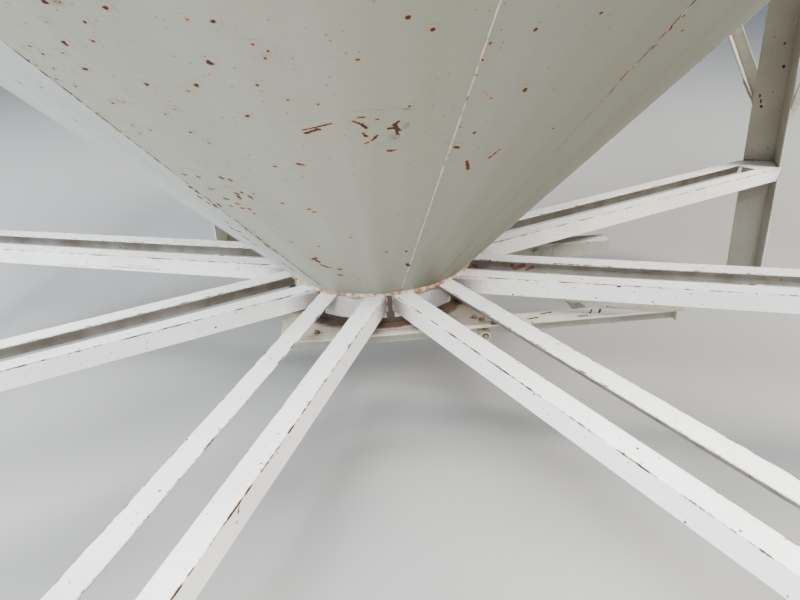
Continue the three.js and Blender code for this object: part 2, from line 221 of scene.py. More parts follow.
def soft_light(name, at, aim, size, power, tint):
    """A square area light at a place, turned towards an aim, both in millimetres."""
    light = bpy.data.lights.new(name, "AREA")
    light.shape = "SQUARE"
    light.size = size * MM
    light.energy = power
    light.color = linear(tint)[:3]
    holder = bpy.data.objects.new(name, light)
    holder.location = Vector(at) * MM
    holder.rotation_euler = (Vector(aim) - Vector(at)).to_track_quat("-Z", "Y").to_euler()
    bpy.context.collection.objects.link(holder)


soft_light("light_front", (-1500, -8200, 8900), (0, -1000, 660), 4500, 4700, "#f0f5ff")
soft_light("light_left", (-8600, -1500, 8900), (-900, -300, 660), 4500, 3300, "#f4f7ff")
soft_light("light_right", (8600, -2500, 8900), (900, 0, 660), 4500, 3700, "#fffaf0")
soft_light("light_low_left", (-8500, -3500, 1900), (0, 0, 1500), 3500, 520, "#dde9ff")
print("lights:", len(bpy.data.lights))

# %% [markdown]
# ## Patterns from noise
# Patterns read Object coordinates, which are the model's own metres, so a pattern's scale is simply
# one metre over its real size. Dirt and rust lie in patches: noise, of which only the values between
# two limits count. Their edges are ragged because the place itself is pushed about by finer noise.

# %% Patches and ragged edges

# Inputs of the colour Mix node, and its output
FACTOR, FIRST, SECOND, MIXED = 0, 6, 7, 2


def per_metre(size):
    """The texture scale that repeats a pattern once in a size given in millimetres."""
    return 1 / (size * MM)


def patches(tree, place, size, detail, limits, shares=(0, 1)):
    """Noise of a size in millimetres, with its values between two limits drawn out to two shares."""
    fog = add_node(tree, "TexNoise", {"Vector": place, "Scale": per_metre(size), "Detail": detail}, "Fac")
    return add_node(tree, "MapRange", {"Value": fog, "From Min": limits[0], "From Max": limits[1],
                                       "To Min": shares[0], "To Max": shares[1]})


def wobbled(tree, place, size, amount):
    """Place, pushed about by noise of a given size, both in millimetres, for ragged edges."""
    ripple = add_node(tree, "TexNoise", {"Vector": place, "Scale": per_metre(size), "Detail": 2.0}, "Color")
    centred = add_node(tree, "VectorMath", {0: ripple, 1: (0.5, 0.5, 0.5)}, operation="SUBTRACT")
    push = add_node(tree, "VectorMath", {0: centred, "Scale": 2 * amount * MM}, operation="SCALE")
    return add_node(tree, "VectorMath", {0: place, 1: push}, operation="ADD")


def edge_of(tree, depth, start, end):
    """A soft step from 0 to 1 while the depth goes from start to end, in millimetres."""
    links = {"Value": depth, "From Min": start * MM, "From Max": end * MM}
    return add_node(tree, "MapRange", links, interpolation_type="SMOOTHSTEP")


def deepest(tree, depths):
    """The largest of several depths or shares."""
    most = depths[0]
    for depth in depths[1:]:
        most = add_node(tree, "Math", {0: most, 1: depth}, operation="MAXIMUM")
    return most


# %% [markdown]
# ## Rust
# Rust starts where a stone or a scratch has chipped the enamel. Each chip is a dark brown pit with
# a thin orange stain round it. Voronoi cells scatter the chips: a cell's centre is the chip, and only
# the cells whose centre lies close to the surface show one, so their sizes differ by themselves.

# %% A pattern of chips
CHIP_RAGGED = (7, 2.5)      # size and reach of the raggedness of a chip


def chips(tree, place, spacing, radius):
    """How deep a point lies inside a chip, in metres, below zero outside."""
    bent = wobbled(tree, place, *CHIP_RAGGED)
    cells = add_node(tree, "TexVoronoi", {"Vector": bent, "Scale": per_metre(spacing)}, "Distance")
    apart = add_node(tree, "Math", {0: cells, 1: spacing * MM}, operation="MULTIPLY")
    return add_node(tree, "Math", {0: radius * MM, 1: apart}, operation="SUBTRACT")


# %% [markdown]
# ## Enamel over steel
# Everything on the silo has the same coat: a white alkyd enamel, sprayed on rolled plate and angle
# iron. It has gone chalky, so its gloss is low, and it carries a grey-green film of dirt. Rain
# draws the film downwards, so its noise is stretched along the height, and it is read at one
# fixed radius, so that it widens with the plate from the foot of the cone to the rim. The same
# drum carries faint bands of painted light and shade, where the bends of the press brake in rolled
# plate catch the light unevenly.

# %% Noise that runs down the plate
FILM_RADIUS = 1200      # of the drum on which the film's noise is read


def spoke_of(tree, place):
    """The level direction from the silo's axis to a place."""
    flat = add_node(tree, "VectorMath", {0: place, 1: (1, 1, 0)}, operation="MULTIPLY")
    return add_node(tree, "VectorMath", {0: flat}, operation="NORMALIZE")


def drawn_down(tree, place, stretch):
    """Place on a drum of one radius, with its height shortened, so that noise runs down in streaks."""
    height = add_node(tree, "SeparateXYZ", {"Vector": place}, "Z")
    drum = add_node(tree, "VectorMath", {0: spoke_of(tree, place), "Scale": FILM_RADIUS * MM},
                    operation="SCALE")
    shortened = add_node(tree, "Math", {0: height, 1: 1 / stretch}, operation="MULTIPLY")
    rise = add_node(tree, "CombineXYZ", {"Z": shortened})
    return add_node(tree, "VectorMath", {0: drum, 1: rise}, operation="ADD")


# %% [markdown]
# The recipe mixes the coat, the film, the painted shade and grime in hollows and under lips, fine dark
# specks, the stain of the rust and its pits, in that order. Pits are rougher than paint and lie a little
# deeper, and sprayed enamel has the fine dimples that painters call orange peel.

# %% The enamel recipe
CLOUD_SIZE, GRIT_SIZE, PEEL_SIZE = 260, 16, 3
CLOUD_LIMITS, GRIT_LIMITS = (0.35, 0.7), (0.5, 0.8)
GRIT_SHARE, BEND_SHADE_SHARE = 0.4, 0.8
BEND_PITCH = 75
STREAK_STRETCH, BEND_STRETCH = 8, 1000      # how much longer than wide a streak and a bend's band are
SPECK_SPACING, SPECK_RADIUS, SPECK_EDGE, SPECK_SHARE = 26, 2.6, (-0.3, 0.6), 0.7
STAIN_EDGE, STAIN_SHARE = (-1.6, 0.6), 0.65     # depths of rust between which the stain sets in
PIT_EDGE = (-0.3, 1.3)                          # and those of the pit
SPECK, STAIN, PIT_DARK, PIT_BRIGHT = (linear(code) for code in ("#585246", "#b97a3c", "#150a04", "#35190b"))
CHALK = (0.42, 0.62)    # roughness of clean and of dirty enamel
PIT_ROUGH = 0.3         # added to it in a pit
PIT_SUNK = -2.0         # height of a pit, where the orange peel has a height of one


def new_material(name):
    """A blank material, its tree, its shader, and the place of a point in Object coordinates."""
    material = bpy.data.materials.new(name)
    material.use_nodes = True
    tree = material.node_tree
    return material, tree, tree.nodes["Principled BSDF"], add_node(tree, "TexCoord", {}, "Object")


def film_share_of(tree, place, grime, film_share, streaks):
    """Share of the dirty film on the coat: clouds, grit and, on rolled plate, painted light and shade at bend
    lines.
    """
    spread = drawn_down(tree, place, STREAK_STRETCH) if streaks else place
    cloudy = patches(tree, spread, CLOUD_SIZE, 4.0, CLOUD_LIMITS)
    gritty = add_node(tree, "MapRange", {"Value": grime, "From Min": GRIT_LIMITS[0],
                                         "From Max": GRIT_LIMITS[1]})
    both = add_node(tree, "Math", {0: gritty, 1: GRIT_SHARE, 2: cloudy}, operation="MULTIPLY_ADD")
    if streaks:
        # Faint bands of painted light and shade for the bends of the press brake.
        plumb = drawn_down(tree, place, BEND_STRETCH)
        bend_shade = add_node(tree, "TexNoise", {"Vector": plumb, "Scale": per_metre(BEND_PITCH),
                                            "Detail": 0.0}, "Fac")
        both = add_node(tree, "Math", {0: bend_shade, 1: BEND_SHADE_SHARE, 2: both}, operation="MULTIPLY_ADD")
    return add_node(tree, "Math", {0: both, 1: film_share}, operation="MULTIPLY", use_clamp=True)


def enamel(name, coat, film, film_share, chip_spacing, chip_radius, rust=None, shade_and_grime=None, shade_and_grime_colour="#5e5142",
           streaks=False):
    """A weathered enamel. rust adds a depth of rust, shade_and_grime a share of painted shade and grime,
    streaks draws the film down.
    """
    material, tree, shader, place = new_material(name)
    grime = add_node(tree, "TexNoise", {"Vector": place, "Scale": per_metre(GRIT_SIZE), "Detail": 4.0}, "Fac")
    share = film_share_of(tree, place, grime, film_share, streaks)
    specks = edge_of(tree, chips(tree, place, SPECK_SPACING, SPECK_RADIUS), *SPECK_EDGE)
    depth = chips(tree, place, chip_spacing, chip_radius)
    if rust:
        depth = deepest(tree, [depth, rust(tree, place)])
    stain = edge_of(tree, depth, *STAIN_EDGE)
    pit = edge_of(tree, depth, *PIT_EDGE)
    brown = add_node(tree, "Mix", {FACTOR: grime, FIRST: PIT_DARK, SECOND: PIT_BRIGHT}, MIXED,
                     data_type="RGBA")

    layers = [(share, linear(film))]
    # Painted shade and grime, in a colour of their own.
    if shade_and_grime:
        layers.append((shade_and_grime(tree, place), linear(shade_and_grime_colour)))
    layers.append((add_node(tree, "Math", {0: specks, 1: SPECK_SHARE}, operation="MULTIPLY"), SPECK))
    layers.append((add_node(tree, "Math", {0: stain, 1: STAIN_SHARE}, operation="MULTIPLY"), STAIN))
    layers.append((pit, brown))
    colour = linear(coat)
    for amount, over in layers:
        colour = add_node(tree, "Mix", {FACTOR: amount, FIRST: colour, SECOND: over}, MIXED,
                          data_type="RGBA")
    tree.links.new(colour, shader.inputs["Base Color"])

    chalk = add_node(tree, "MapRange", {"Value": share, "To Min": CHALK[0], "To Max": CHALK[1]})
    rough = add_node(tree, "Math", {0: pit, 1: PIT_ROUGH, 2: chalk}, operation="MULTIPLY_ADD")
    tree.links.new(rough, shader.inputs["Roughness"])
    peel = add_node(tree, "TexNoise", {"Vector": place, "Scale": per_metre(PEEL_SIZE), "Detail": 1.0}, "Fac")
    bumps = add_node(tree, "Math", {0: pit, 1: PIT_SUNK, 2: peel}, operation="MULTIPLY_ADD")
    relief = add_node(tree, "Bump", {"Height": bumps, "Strength": 0.25, "Distance": 0.3 * MM})
    tree.links.new(relief, shader.inputs["Normal"])
    return material


# %% [markdown]
# ## Places on the cone and on a flat face
# Where the photograph shows a mark, its pixel tells where it lies: the camera's ray through
# the pixel meets the cone in one point. That is a small quadratic equation, because the cone
# widens by a millimetre for each millimetre of height. A flat face only takes a division.

# %% Throw a pixel onto the cone or onto a flat face


def ray_through(pixel):
    """Direction of the camera's ray through a pixel."""
    across = (pixel[0] - IMAGE[0] / 2) / FOCAL_PIXELS
    down = (pixel[1] - IMAGE[1] / 2) / FOCAL_PIXELS
    return forward + right * across - up * down


def on_face(pixel, point, normal):
    """Where the camera's ray through a pixel meets a flat face, in millimetres."""
    ray = ray_through(pixel)
    return CAMERA_AT + ray * ((point - CAMERA_AT).dot(normal) / ray.dot(normal))


def on_cone(pixel):
    """Where the camera's ray through a pixel meets the cone, in millimetres."""
    ray = ray_through(pixel)
    height = CAMERA_AT.z - cone.foot + OUTLET_R
    a = ray.x ** 2 + ray.y ** 2 - ray.z ** 2
    b = CAMERA_AT.x * ray.x + CAMERA_AT.y * ray.y - height * ray.z
    c = CAMERA_AT.x ** 2 + CAMERA_AT.y ** 2 - height ** 2
    distance = (-b - math.sqrt(b * b - a * c)) / a
    return CAMERA_AT + ray * distance


# %% [markdown]
# ## Rust along the corners of the angle iron
# A corner takes every knock, and enamel runs thin on it. So the outer corner of every strut shows a
# thin dark line of rust, broken here and there. The free edge of the flange shows a few dashes of it
# too. Each strut carries an attribute named place, with the distance from the silo's axis, the
# offset across the pair and the height. The line runs where the offset is that of the corner or of
# the edge, and the height that of the top.

# %% A pattern for the corners of the struts
STRUT_HALF = 115        # from the middle of a pair to the outside of its webs
STRUT_IRON, IRON_T = 63.5, 6.4
EDGES = [(STRUT_HALF, -1.4, 3.8), (STRUT_HALF - STRUT_IRON, -4.0, 2.8)]     # offset, least and most rust
DASH_SIZE, DASH_LIMITS = 24, (0.36, 0.62)
DASH_DRAWN = (0.5, 0.5, 1)      # noise drawn out to twice its length on the level


def corner_line(tree, place):
    """Depth of rust along the outer top corner and the free edge of a strut, in metres."""
    own = add_node(tree, "Attribute", {}, "Vector", attribute_name="place")
    parts = add_node(tree, "SeparateXYZ", {"Vector": own}, None)
    side = add_node(tree, "Math", {0: parts["Y"]}, operation="ABSOLUTE")
    below = add_node(tree, "Math", {0: strut.top * MM, 1: parts["Z"]}, operation="SUBTRACT")
    drawn = add_node(tree, "Mapping", {"Vector": place, "Scale": DASH_DRAWN})
    dashes = add_node(tree, "TexNoise", {"Vector": drawn, "Scale": per_metre(DASH_SIZE), "Detail": 6.0,
                                         "Roughness": 0.7}, "Fac")
    lines = []
    for offset, least, most in EDGES:
        past = add_node(tree, "Math", {0: side, 1: offset * MM}, operation="SUBTRACT")
        apart = add_node(tree, "Math", {0: past}, operation="ABSOLUTE")
        away = deepest(tree, [apart, below])
        width = add_node(tree, "MapRange", {"Value": dashes, "From Min": DASH_LIMITS[0],
                                            "From Max": DASH_LIMITS[1], "To Min": least * MM,
                                            "To Max": most * MM})
        lines.append(add_node(tree, "Math", {0: width, 1: away}, operation="SUBTRACT"))
    return deepest(tree, lines)


# %% [markdown]
# A few marks on the struts show clearly enough to repeat: a patch of rust in the hollow of the pair
# on the right, and long scratches on the left pair. Each is a stroke between two points of a pair,
# given as distance along, offset across and height, and its depth is its half width less
# the distance to the stroke. A wide patch is no pit but a thin film of rust, so its depth is capped.

# %% A pattern for strokes of rust on the struts
HOLLOW = STRUT_HALF - IRON_T        # offset of the sheltered side of a web

# The leg's number, both ends of the stroke, and its half width
STRUT_STROKES = [
    (8, (484, HOLLOW, 618), (500, HOLLOW, 606), 7), (8, (508, HOLLOW, 612), (530, HOLLOW, 622), 9),
    (8, (540, HOLLOW, 606), (563, HOLLOW, 616), 6), (8, (340, HOLLOW, 612), (352, HOLLOW, 606), 6),
    (4, (1390, STRUT_HALF, 604), (1250, STRUT_HALF, 606), 1.2),
    (4, (1130, STRUT_HALF, 612), (900, STRUT_HALF, 610), 1.4),
    (4, (1050, STRUT_HALF, 622), (930, STRUT_HALF, 621), 1.0),
    (8, (862, -STRUT_HALF, 656), (872, -STRUT_HALF, 655), 3.5), (6, (1352, 113, 652), (1358, 115, 645), 3.5),
]
STROKE_RAGGED = (9, 4)      # size and reach of the raggedness of a stroke
WIDE = 5                    # half width from which a stroke on a strut is a film
FILM_RUST = 0.62            # greatest depth of that film


def stroke_depths(tree, place, strokes):
    """Depth of rust in each stroke between two points, in metres."""
    bent = wobbled(tree, place, *STROKE_RAGGED)
    depths = []
    for start, end, half_width in strokes:
        first, run = start * MM, (end - start) * MM
        past = add_node(tree, "VectorMath", {0: bent, 1: first}, operation="SUBTRACT")
        reached = add_node(tree, "VectorMath", {0: past, 1: run / run.length_squared}, "Value",
                           operation="DOT_PRODUCT")
        part = add_node(tree, "Math", {0: reached, 1: 1}, operation="MULTIPLY", use_clamp=True)
        nearest = add_node(tree, "VectorMath", {0: run, "Scale": part}, operation="SCALE")
        apart = add_node(tree, "VectorMath", {0: past, 1: nearest}, "Value", operation="DISTANCE")
        depths.append(add_node(tree, "Math", {0: half_width * MM, 1: apart}, operation="SUBTRACT"))
    return depths


def strut_marks(tree, place):
    """Depth of the corner line and of the strokes on the struts, in metres."""
    strokes = []
    for index, start, end, half_width in STRUT_STROKES:
        turn = turned_by(leg_direction(index))
        strokes.append((turn @ Vector(start), turn @ Vector(end), half_width))
    depths = [corner_line(tree, place)]
    for depth, (_, _, half_width) in zip(stroke_depths(tree, place, strokes), strokes):
        cap = FILM_RUST if half_width > WIDE else half_width
        depths.append(add_node(tree, "Math", {0: depth, 1: cap * MM}, operation="MINIMUM"))
    return deepest(tree, depths)


# %% [markdown]
# The hollow side of an angle iron, where the flange keeps the sky off, is painted a dull brown
# shade. That hollow lies inside the web and below the flange. The painted shade stops at the
# flange's free edge, and noise makes that edge ragged. The same painted shade darkens the narrow
# wedge between two pairs at the collar, and the seat plate towards the leg.

# %% A pattern for the hollow side of the struts
SHADE_EDGE_RAGGED = (13, 3.0)         # size and reach of the raggedness at the edge of the painted shade
SHADE_CLOUD, SHADE_LIMITS, SHADE_SHARES = 110, (0.3, 0.7), (0.7, 0.95)
WEDGE, WEDGE_SHARE = (345, 440), 0.75       # radii between which the painted shade of the wedge fades out
WEDGE_LIP = 12                              # depth below the top at which the wedge's painted shade is full
SEAT, SEAT_SHARE = (2100, 2290), 0.35       # radii between which painted shade grows towards the leg


def hollow_shade(tree, place):
    """Share of painted shade on the hollow faces of a strut, in the wedge at the collar and towards the leg.
    """
    own = add_node(tree, "Attribute", {}, "Vector", attribute_name="place")
    parts = add_node(tree, "SeparateXYZ", {"Vector": wobbled(tree, own, *SHADE_EDGE_RAGGED)}, None)
    side = add_node(tree, "Math", {0: parts["Y"]}, operation="ABSOLUTE")
    inwards = add_node(tree, "Math", {0: (STRUT_HALF - IRON_T / 2) * MM, 1: side}, operation="SUBTRACT")
    below = add_node(tree, "Math", {0: (strut.top - IRON_T / 2) * MM, 1: parts["Z"]}, operation="SUBTRACT")
    inside = add_node(tree, "Math", {0: inwards, 1: below}, operation="MINIMUM")
    amount = patches(tree, own, SHADE_CLOUD, 4.0, SHADE_LIMITS, SHADE_SHARES)
    hollow = add_node(tree, "Math", {0: edge_of(tree, inside, 0, 1.5), 1: amount}, operation="MULTIPLY")
    narrow = add_node(tree, "MapRange", {"Value": parts["X"], "From Min": WEDGE[0] * MM,
                                         "From Max": WEDGE[1] * MM, "To Min": WEDGE_SHARE, "To Max": 0})
    web = add_node(tree, "Math", {0: edge_of(tree, below, 0, WEDGE_LIP), 1: narrow}, operation="MULTIPLY")
    seat = add_node(tree, "MapRange", {"Value": parts["X"], "From Min": SEAT[0] * MM,
                                       "From Max": SEAT[1] * MM, "To Max": SEAT_SHARE})
    return deepest(tree, [hollow, web, seat])


# %% [markdown]
# One seam of the cone, left of the photograph's view, has rusted through in a row of dots. They are
# small chips that show only in a narrow strip along the seam. The larger marks on the cone store
# their depth of rust at each vertex, so their pattern only reads it.

# %% Patterns for the rusty seam and for stored rust
DARK_SEAM = 6           # counted from the first seam after the gate's line
FLECK_STRIP = 16        # half width of the strip
FLECK_SPACING, FLECK_RADIUS = 20, 4.6
FLECK_FADE = 4          # depth that the dots lose from the seam to the rim of the strip


def dark_seam_direction():
    """Direction of the rusty seam, in degrees."""
    return SEAM_TURN + BAY_ANGLE * (DARK_SEAM - 1)


def seam_flecks(tree, place):
    """Depth of rust in the dots along one seam of the cone, in metres."""
    turn = -math.radians(dark_seam_direction())
    turned = add_node(tree, "Mapping", {"Vector": place, "Rotation": (0, 0, turn)})
    aside = add_node(tree, "SeparateXYZ", {"Vector": turned}, "Y")
    off = add_node(tree, "Math", {0: aside}, operation="ABSOLUTE")
    past = add_node(tree, "MapRange", {"Value": off, "From Min": 0, "From Max": FLECK_STRIP * MM,
                                       "To Min": 0, "To Max": FLECK_FADE * MM})
    dots = chips(tree, place, FLECK_SPACING, FLECK_RADIUS)
    return add_node(tree, "Math", {0: dots, 1: past}, operation="SUBTRACT")


def cone_marks(tree, place):
    """Depth of the rust stored in the mesh or of the dots along the seam, the deeper, in metres."""
    stored = add_node(tree, "Attribute", {}, "Fac", attribute_name="rust_depth")
    return deepest(tree, [stored, seam_flecks(tree, place)])


# %% [markdown]
# The side of the cone towards the gate's open end is mixed darker and olive green: partly a thicker
# olive film, partly painted shade.

# %% A pattern for the damp side
OLIVE_AND_SHADE_COSINES = (-0.75, 0.6)     # cosines of the direction from the axis between which the olive film and painted shade grow
OLIVE_AND_SHADE_SHARE = 0.95


def olive_film_and_shade(tree, place):
    """Share of olive film and painted shade, growing round the axis towards the gate's open end."""
    along = add_node(tree, "SeparateXYZ", {"Vector": spoke_of(tree, place)}, "X")
    return add_node(tree, "MapRange", {"Value": along, "From Min": OLIVE_AND_SHADE_COSINES[0], "From Max": OLIVE_AND_SHADE_COSINES[1],
                                       "To Max": OLIVE_AND_SHADE_SHARE})


# %% [markdown]
# A leg is an angle iron too, with its heel outwards, so its inside faces the hub and gets painted
# shade. The leg on the right carries a few blisters of rust there.

# %% Patterns for the legs
LEG_SHADE = 0.62

# From pixel to pixel, with a half width
LEG_BLISTERS = [((760, 95), (760, 96), 5), ((761, 100), (760.5, 102), 5), ((761, 106), (761.5, 107), 6),
                ((785, 43), (784.5, 44), 4), ((784, 66), (783.5, 67), 7)]


def leg_inside_shade(tree, place):
    """Share of painted shade on the inner faces of a leg."""
    own = add_node(tree, "Attribute", {}, "Vector", attribute_name="place")
    parts = add_node(tree, "SeparateXYZ", {"Vector": own}, None)
    side = add_node(tree, "Math", {0: parts["Y"]}, operation="ABSOLUTE")
    out = add_node(tree, "Math", {0: parts["X"], 1: side}, operation="ADD")
    inwards = add_node(tree, "Math", {0: (leg.outer - LEG_TIP_T) * MM, 1: out}, operation="SUBTRACT")
    return add_node(tree, "Math", {0: edge_of(tree, inwards, 0, 3), 1: LEG_SHADE}, operation="MULTIPLY")


def leg_marks(tree, place):
    """Depth of rust in the blisters of the first leg, in metres."""
    turn = turned_by(leg_direction(1))
    point = turn @ Vector((leg.outer - 2 * LEG_TIP_T, 0, 0))
    normal = turn @ Vector((1, 1, 0)).normalized()
    strokes = [(on_face(start, point, normal), on_face(end, point, normal), half_width)
               for start, end, half_width in LEG_BLISTERS]
    return deepest(tree, stroke_depths(tree, place, strokes))


# %% [markdown]
# Now the recipe is mixed once for each kind of iron or plate. The plate before the rusty seam hangs
# over the edge of the bin's shadow, so its coat is mixed paler and bluer: painted sky light from the left.

# %% Make the enamels
# The cone's coat is mixed greyer than the other white enamels: painted shade, since the cone faces down, away
# from the lights.
cone_coat = {"coat": "#b4b5a9", "film": "#999a84", "film_share": 0.5, "chip_spacing": 100,
             "chip_radius": 5.0, "shade_and_grime": olive_film_and_shade, "shade_and_grime_colour": "#6a6855", "streaks": True}
# A paler, bluer copy of the cone's coat: painted light from the sky on the left.
sky_lit_coat = {**cone_coat, "coat": "#c4c9c5", "film": "#aeb1a6"}
hopper_enamel = enamel("white_enamel_on_rolled_plate", rust=seam_flecks, **cone_coat)
sky_lit_enamel = enamel("white_enamel_painted_sky_lit_plate", rust=seam_flecks, **sky_lit_coat)
chipped_enamel = enamel("white_enamel_on_scabs", rust=cone_marks, **cone_coat)
sky_lit_scab_enamel = enamel("white_enamel_painted_sky_lit_scabs", rust=cone_marks, **sky_lit_coat)
wall_enamel = enamel("white_enamel_on_wall_plate", "#cacac2", "#a5a497", 0.6, 70, 3.5, streaks=True)
leg_enamel = enamel("white_enamel_on_leg_iron", "#dcd9cf", "#b3ac9b", 0.7, 60, 3.5, rust=leg_marks,
                    shade_and_grime=leg_inside_shade, shade_and_grime_colour="#847b66")
brace_enamel = enamel("white_enamel_on_brace", "#d9d6cb", "#a49c89", 0.8, 50, 3.5)
# The struts take painted shade in their hollows.
strut_enamel = enamel("white_enamel_on_strut_iron", "#f4f1eb", "#cfcabd", 0.4, 50, 3.4,
                      rust=strut_marks, shade_and_grime=hollow_shade)
gate_enamel = enamel("cream_enamel_on_gate_iron", "#b9b09c", "#80745d", 0.85, 24, 3.6)
print("enamels:", [material.name for material in bpy.data.materials if "enamel" in material.name])

# %% [markdown]
# ## Bare steel, welds and bolts
# The blade and its shaft were never painted. Hot-rolled steel left in the weather turns an even, dry
# brown that shows no metal shine any more. The weld at the foot of the cone was painted, but weld
# metal is rough and holds water, so rust has broken through most of the coat. The bolts were
# zinc plated, which dulls to a grey that is still slightly metallic.

# %% Make the rusty steel, the weld and the zinc
MOTTLE = (0.35, 0.65)       # limits of the noise between the darker and the brighter rust
RUST_PATCH, RUST_GRAIN = 60, 4
WELD_PATCH, WELD_GRAIN = 28, 7
FRECKLE, FRECKLE_LIMITS, FRECKLE_SHARE = linear("#8a4a22"), (0.5, 0.8), 0.6
BLOOM_SIZE = 8


def rusty_steel(name, dark, bright):
    """Steel covered in dry rust, a mix of two browns in patches and in grains."""
    material, tree, shader, place = new_material(name)
    spread = patches(tree, place, RUST_PATCH, 5.0, MOTTLE)
    grains = add_node(tree, "TexNoise", {"Vector": place, "Scale": per_metre(RUST_GRAIN), "Detail": 3.0},
                      "Fac")
    freckle = add_node(tree, "MapRange", {"Value": grains, "From Min": FRECKLE_LIMITS[0],
                                          "From Max": FRECKLE_LIMITS[1], "To Max": FRECKLE_SHARE})
    browns = add_node(tree, "Mix", {FACTOR: spread, FIRST: linear(dark), SECOND: linear(bright)}, MIXED,
                      data_type="RGBA")
    colour = add_node(tree, "Mix", {FACTOR: freckle, FIRST: browns, SECOND: FRECKLE}, MIXED,
                      data_type="RGBA")
    tree.links.new(colour, shader.inputs["Base Color"])
    shader.inputs["Roughness"].default_value = 0.85
    shader.inputs["Metallic"].default_value = 0.1
    relief = add_node(tree, "Bump", {"Height": grains, "Strength": 0.5, "Distance": 0.5 * MM})
    tree.links.new(relief, shader.inputs["Normal"])
    return material


def weld_metal(name, coat, limits, dark, bright):
    """Painted weld metal. Rust shows where the noise lies between two limits and above."""
    material, tree, shader, place = new_material(name)
    share = patches(tree, place, WELD_PATCH, 5.0, limits)
    grains = add_node(tree, "TexNoise", {"Vector": place, "Scale": per_metre(WELD_GRAIN), "Detail": 3.0},
                      "Fac")
    mottle = add_node(tree, "MapRange", {"Value": grains, "From Min": MOTTLE[0], "From Max": MOTTLE[1]})
    rust = add_node(tree, "Mix", {FACTOR: mottle, FIRST: linear(dark), SECOND: linear(bright)}, MIXED,
                    data_type="RGBA")
    colour = add_node(tree, "Mix", {FACTOR: share, FIRST: linear(coat), SECOND: rust}, MIXED,
                      data_type="RGBA")
    tree.links.new(colour, shader.inputs["Base Color"])
    shader.inputs["Roughness"].default_value = 0.7
    relief = add_node(tree, "Bump", {"Height": grains, "Strength": 0.6, "Distance": 0.6 * MM})
    tree.links.new(relief, shader.inputs["Normal"])
    return material


def zinc_plate(name):
    """Dull zinc plate with a white bloom in small clouds."""
    material, tree, shader, place = new_material(name)
    bloom = add_node(tree, "TexNoise", {"Vector": place, "Scale": per_metre(BLOOM_SIZE), "Detail": 3.0},
                     "Fac")
    colour = add_node(tree, "Mix", {FACTOR: bloom, FIRST: linear("#3f2f25"), SECOND: linear("#8f8678")},
                      MIXED, data_type="RGBA")
    tree.links.new(colour, shader.inputs["Base Color"])
    shader.inputs["Metallic"].default_value = 0.6
    shader.inputs["Roughness"].default_value = 0.5
    return material


blade_steel = rusty_steel("hot_rolled_steel_rusted", "#3a2417", "#5f3b24")
shaft_steel = rusty_steel("turned_shaft_dusty", "#5f5648", "#8a8170")
foot_weld_metal = weld_metal("weld_metal_rusting_through", "#ddcfb8", (0.40, 0.58), "#4f2a18", "#cf9871")
seam_weld_metal = weld_metal("weld_metal_painted", "#b0afa2", (0.58, 0.68), "#3a2116", "#8f6a4c")
dark_seam_metal = weld_metal("weld_metal_rust_line", "#a9a99f", (0.36, 0.46), "#24140c", "#5e4330")
dirty_weld_metal = weld_metal("weld_metal_dirty", "#98917f", (0.5, 0.62), "#3f281b", "#80624a")
bin_weld_metal = weld_metal("weld_metal_on_the_bin", "#cbcbc4", (0.66, 0.76), "#5a3a28", "#b08a6c")
bolt_zinc = zinc_plate("zinc_plated_bolt")
print("materials:", len(bpy.data.materials))

# %% [markdown]
# ## From a bmesh to a piece
# A bmesh is Blender's workbench for a mesh. When it is done it becomes an object at the origin that
# rides on a body of the model. Faces are shaded smooth and only the edges sharper than a rolled
# plate's facets stay crisp, so a round wall looks round.

# %% Helpers for pieces
CREASE = math.radians(22)
MERGE_WITHIN = 0.01                 # corners closer than this are one corner
FLAT = math.radians(0.4)            # triangles that meet flatter than this are one face


def finish_piece(name, work, material, body="frame", stands_for=()):
    """Makes an object of a bmesh, shades it, parents it to its body's empty and hides the nodes it stands
    for.
    """
    for face in work.faces:
        face.smooth = True
    for edge in work.edges:
        edge.smooth = edge.calc_face_angle(0.0) < CREASE
    data = bpy.data.meshes.new(name)
    work.to_mesh(data)
    work.free()
    data.materials.append(material)
    piece = bpy.data.objects.new(name, data)
    bpy.context.collection.objects.link(piece)
    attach(piece, body)
    if stands_for:
        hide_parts(*stands_for)
    return piece


def copy_of(name):
    """A bmesh of a node, with its loose triangles joined into clean flat faces."""
    work = bmesh.new()
    work.from_mesh(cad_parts[name].data)
    bmesh.ops.remove_doubles(work, verts=work.verts, dist=MERGE_WITHIN * MM)
    bmesh.ops.dissolve_limit(work, angle_limit=FLAT, verts=work.verts, edges=work.edges)
    return work


# %% [markdown]
# ## The struts, the legs and the bays
# Each pair of struts is two 2 1/2 in angle irons and a seat plate at the leg. The legs are the same
# stock, only larger, 6 in angle iron on a square base plate, and every bay has two diagonals
# welded to a piece of the band. Hot-rolled angle iron has no knife edges: its corners are round by a
# millimetre or two, and that thin line of light is what makes it look like rolled steel. So a copy of
# each node gets its long edges rounded and replaces it. The copies of struts and legs also carry
# the place attribute that their patterns of rust and dirt read.

# %% Round the angle irons
SHARP = math.radians(40)
IRON_ROUND = 1.6


def round_edges(work, radius, shortest):
    """Rounds the outward edges that are longer than a length, both in millimetres."""
    chosen = [edge for edge in work.edges if len(edge.link_faces) == 2
              and edge.calc_face_angle_signed() > SHARP and edge.calc_length() > shortest * MM]
    bmesh.ops.bevel(work, geom=chosen, offset=radius * MM, segments=2, profile=0.5, affect="EDGES",
                    material=-1, clamp_overlap=True)
    return len(chosen)


def stamp_place(work, turn):
    """Stores distance along, offset across and height of each vertex, as seen from a direction."""
    layer = work.verts.layers.float_vector.new("place")
    back = turned_by(-turn)
    for vertex in work.verts:
        vertex[layer] = back @ vertex.co


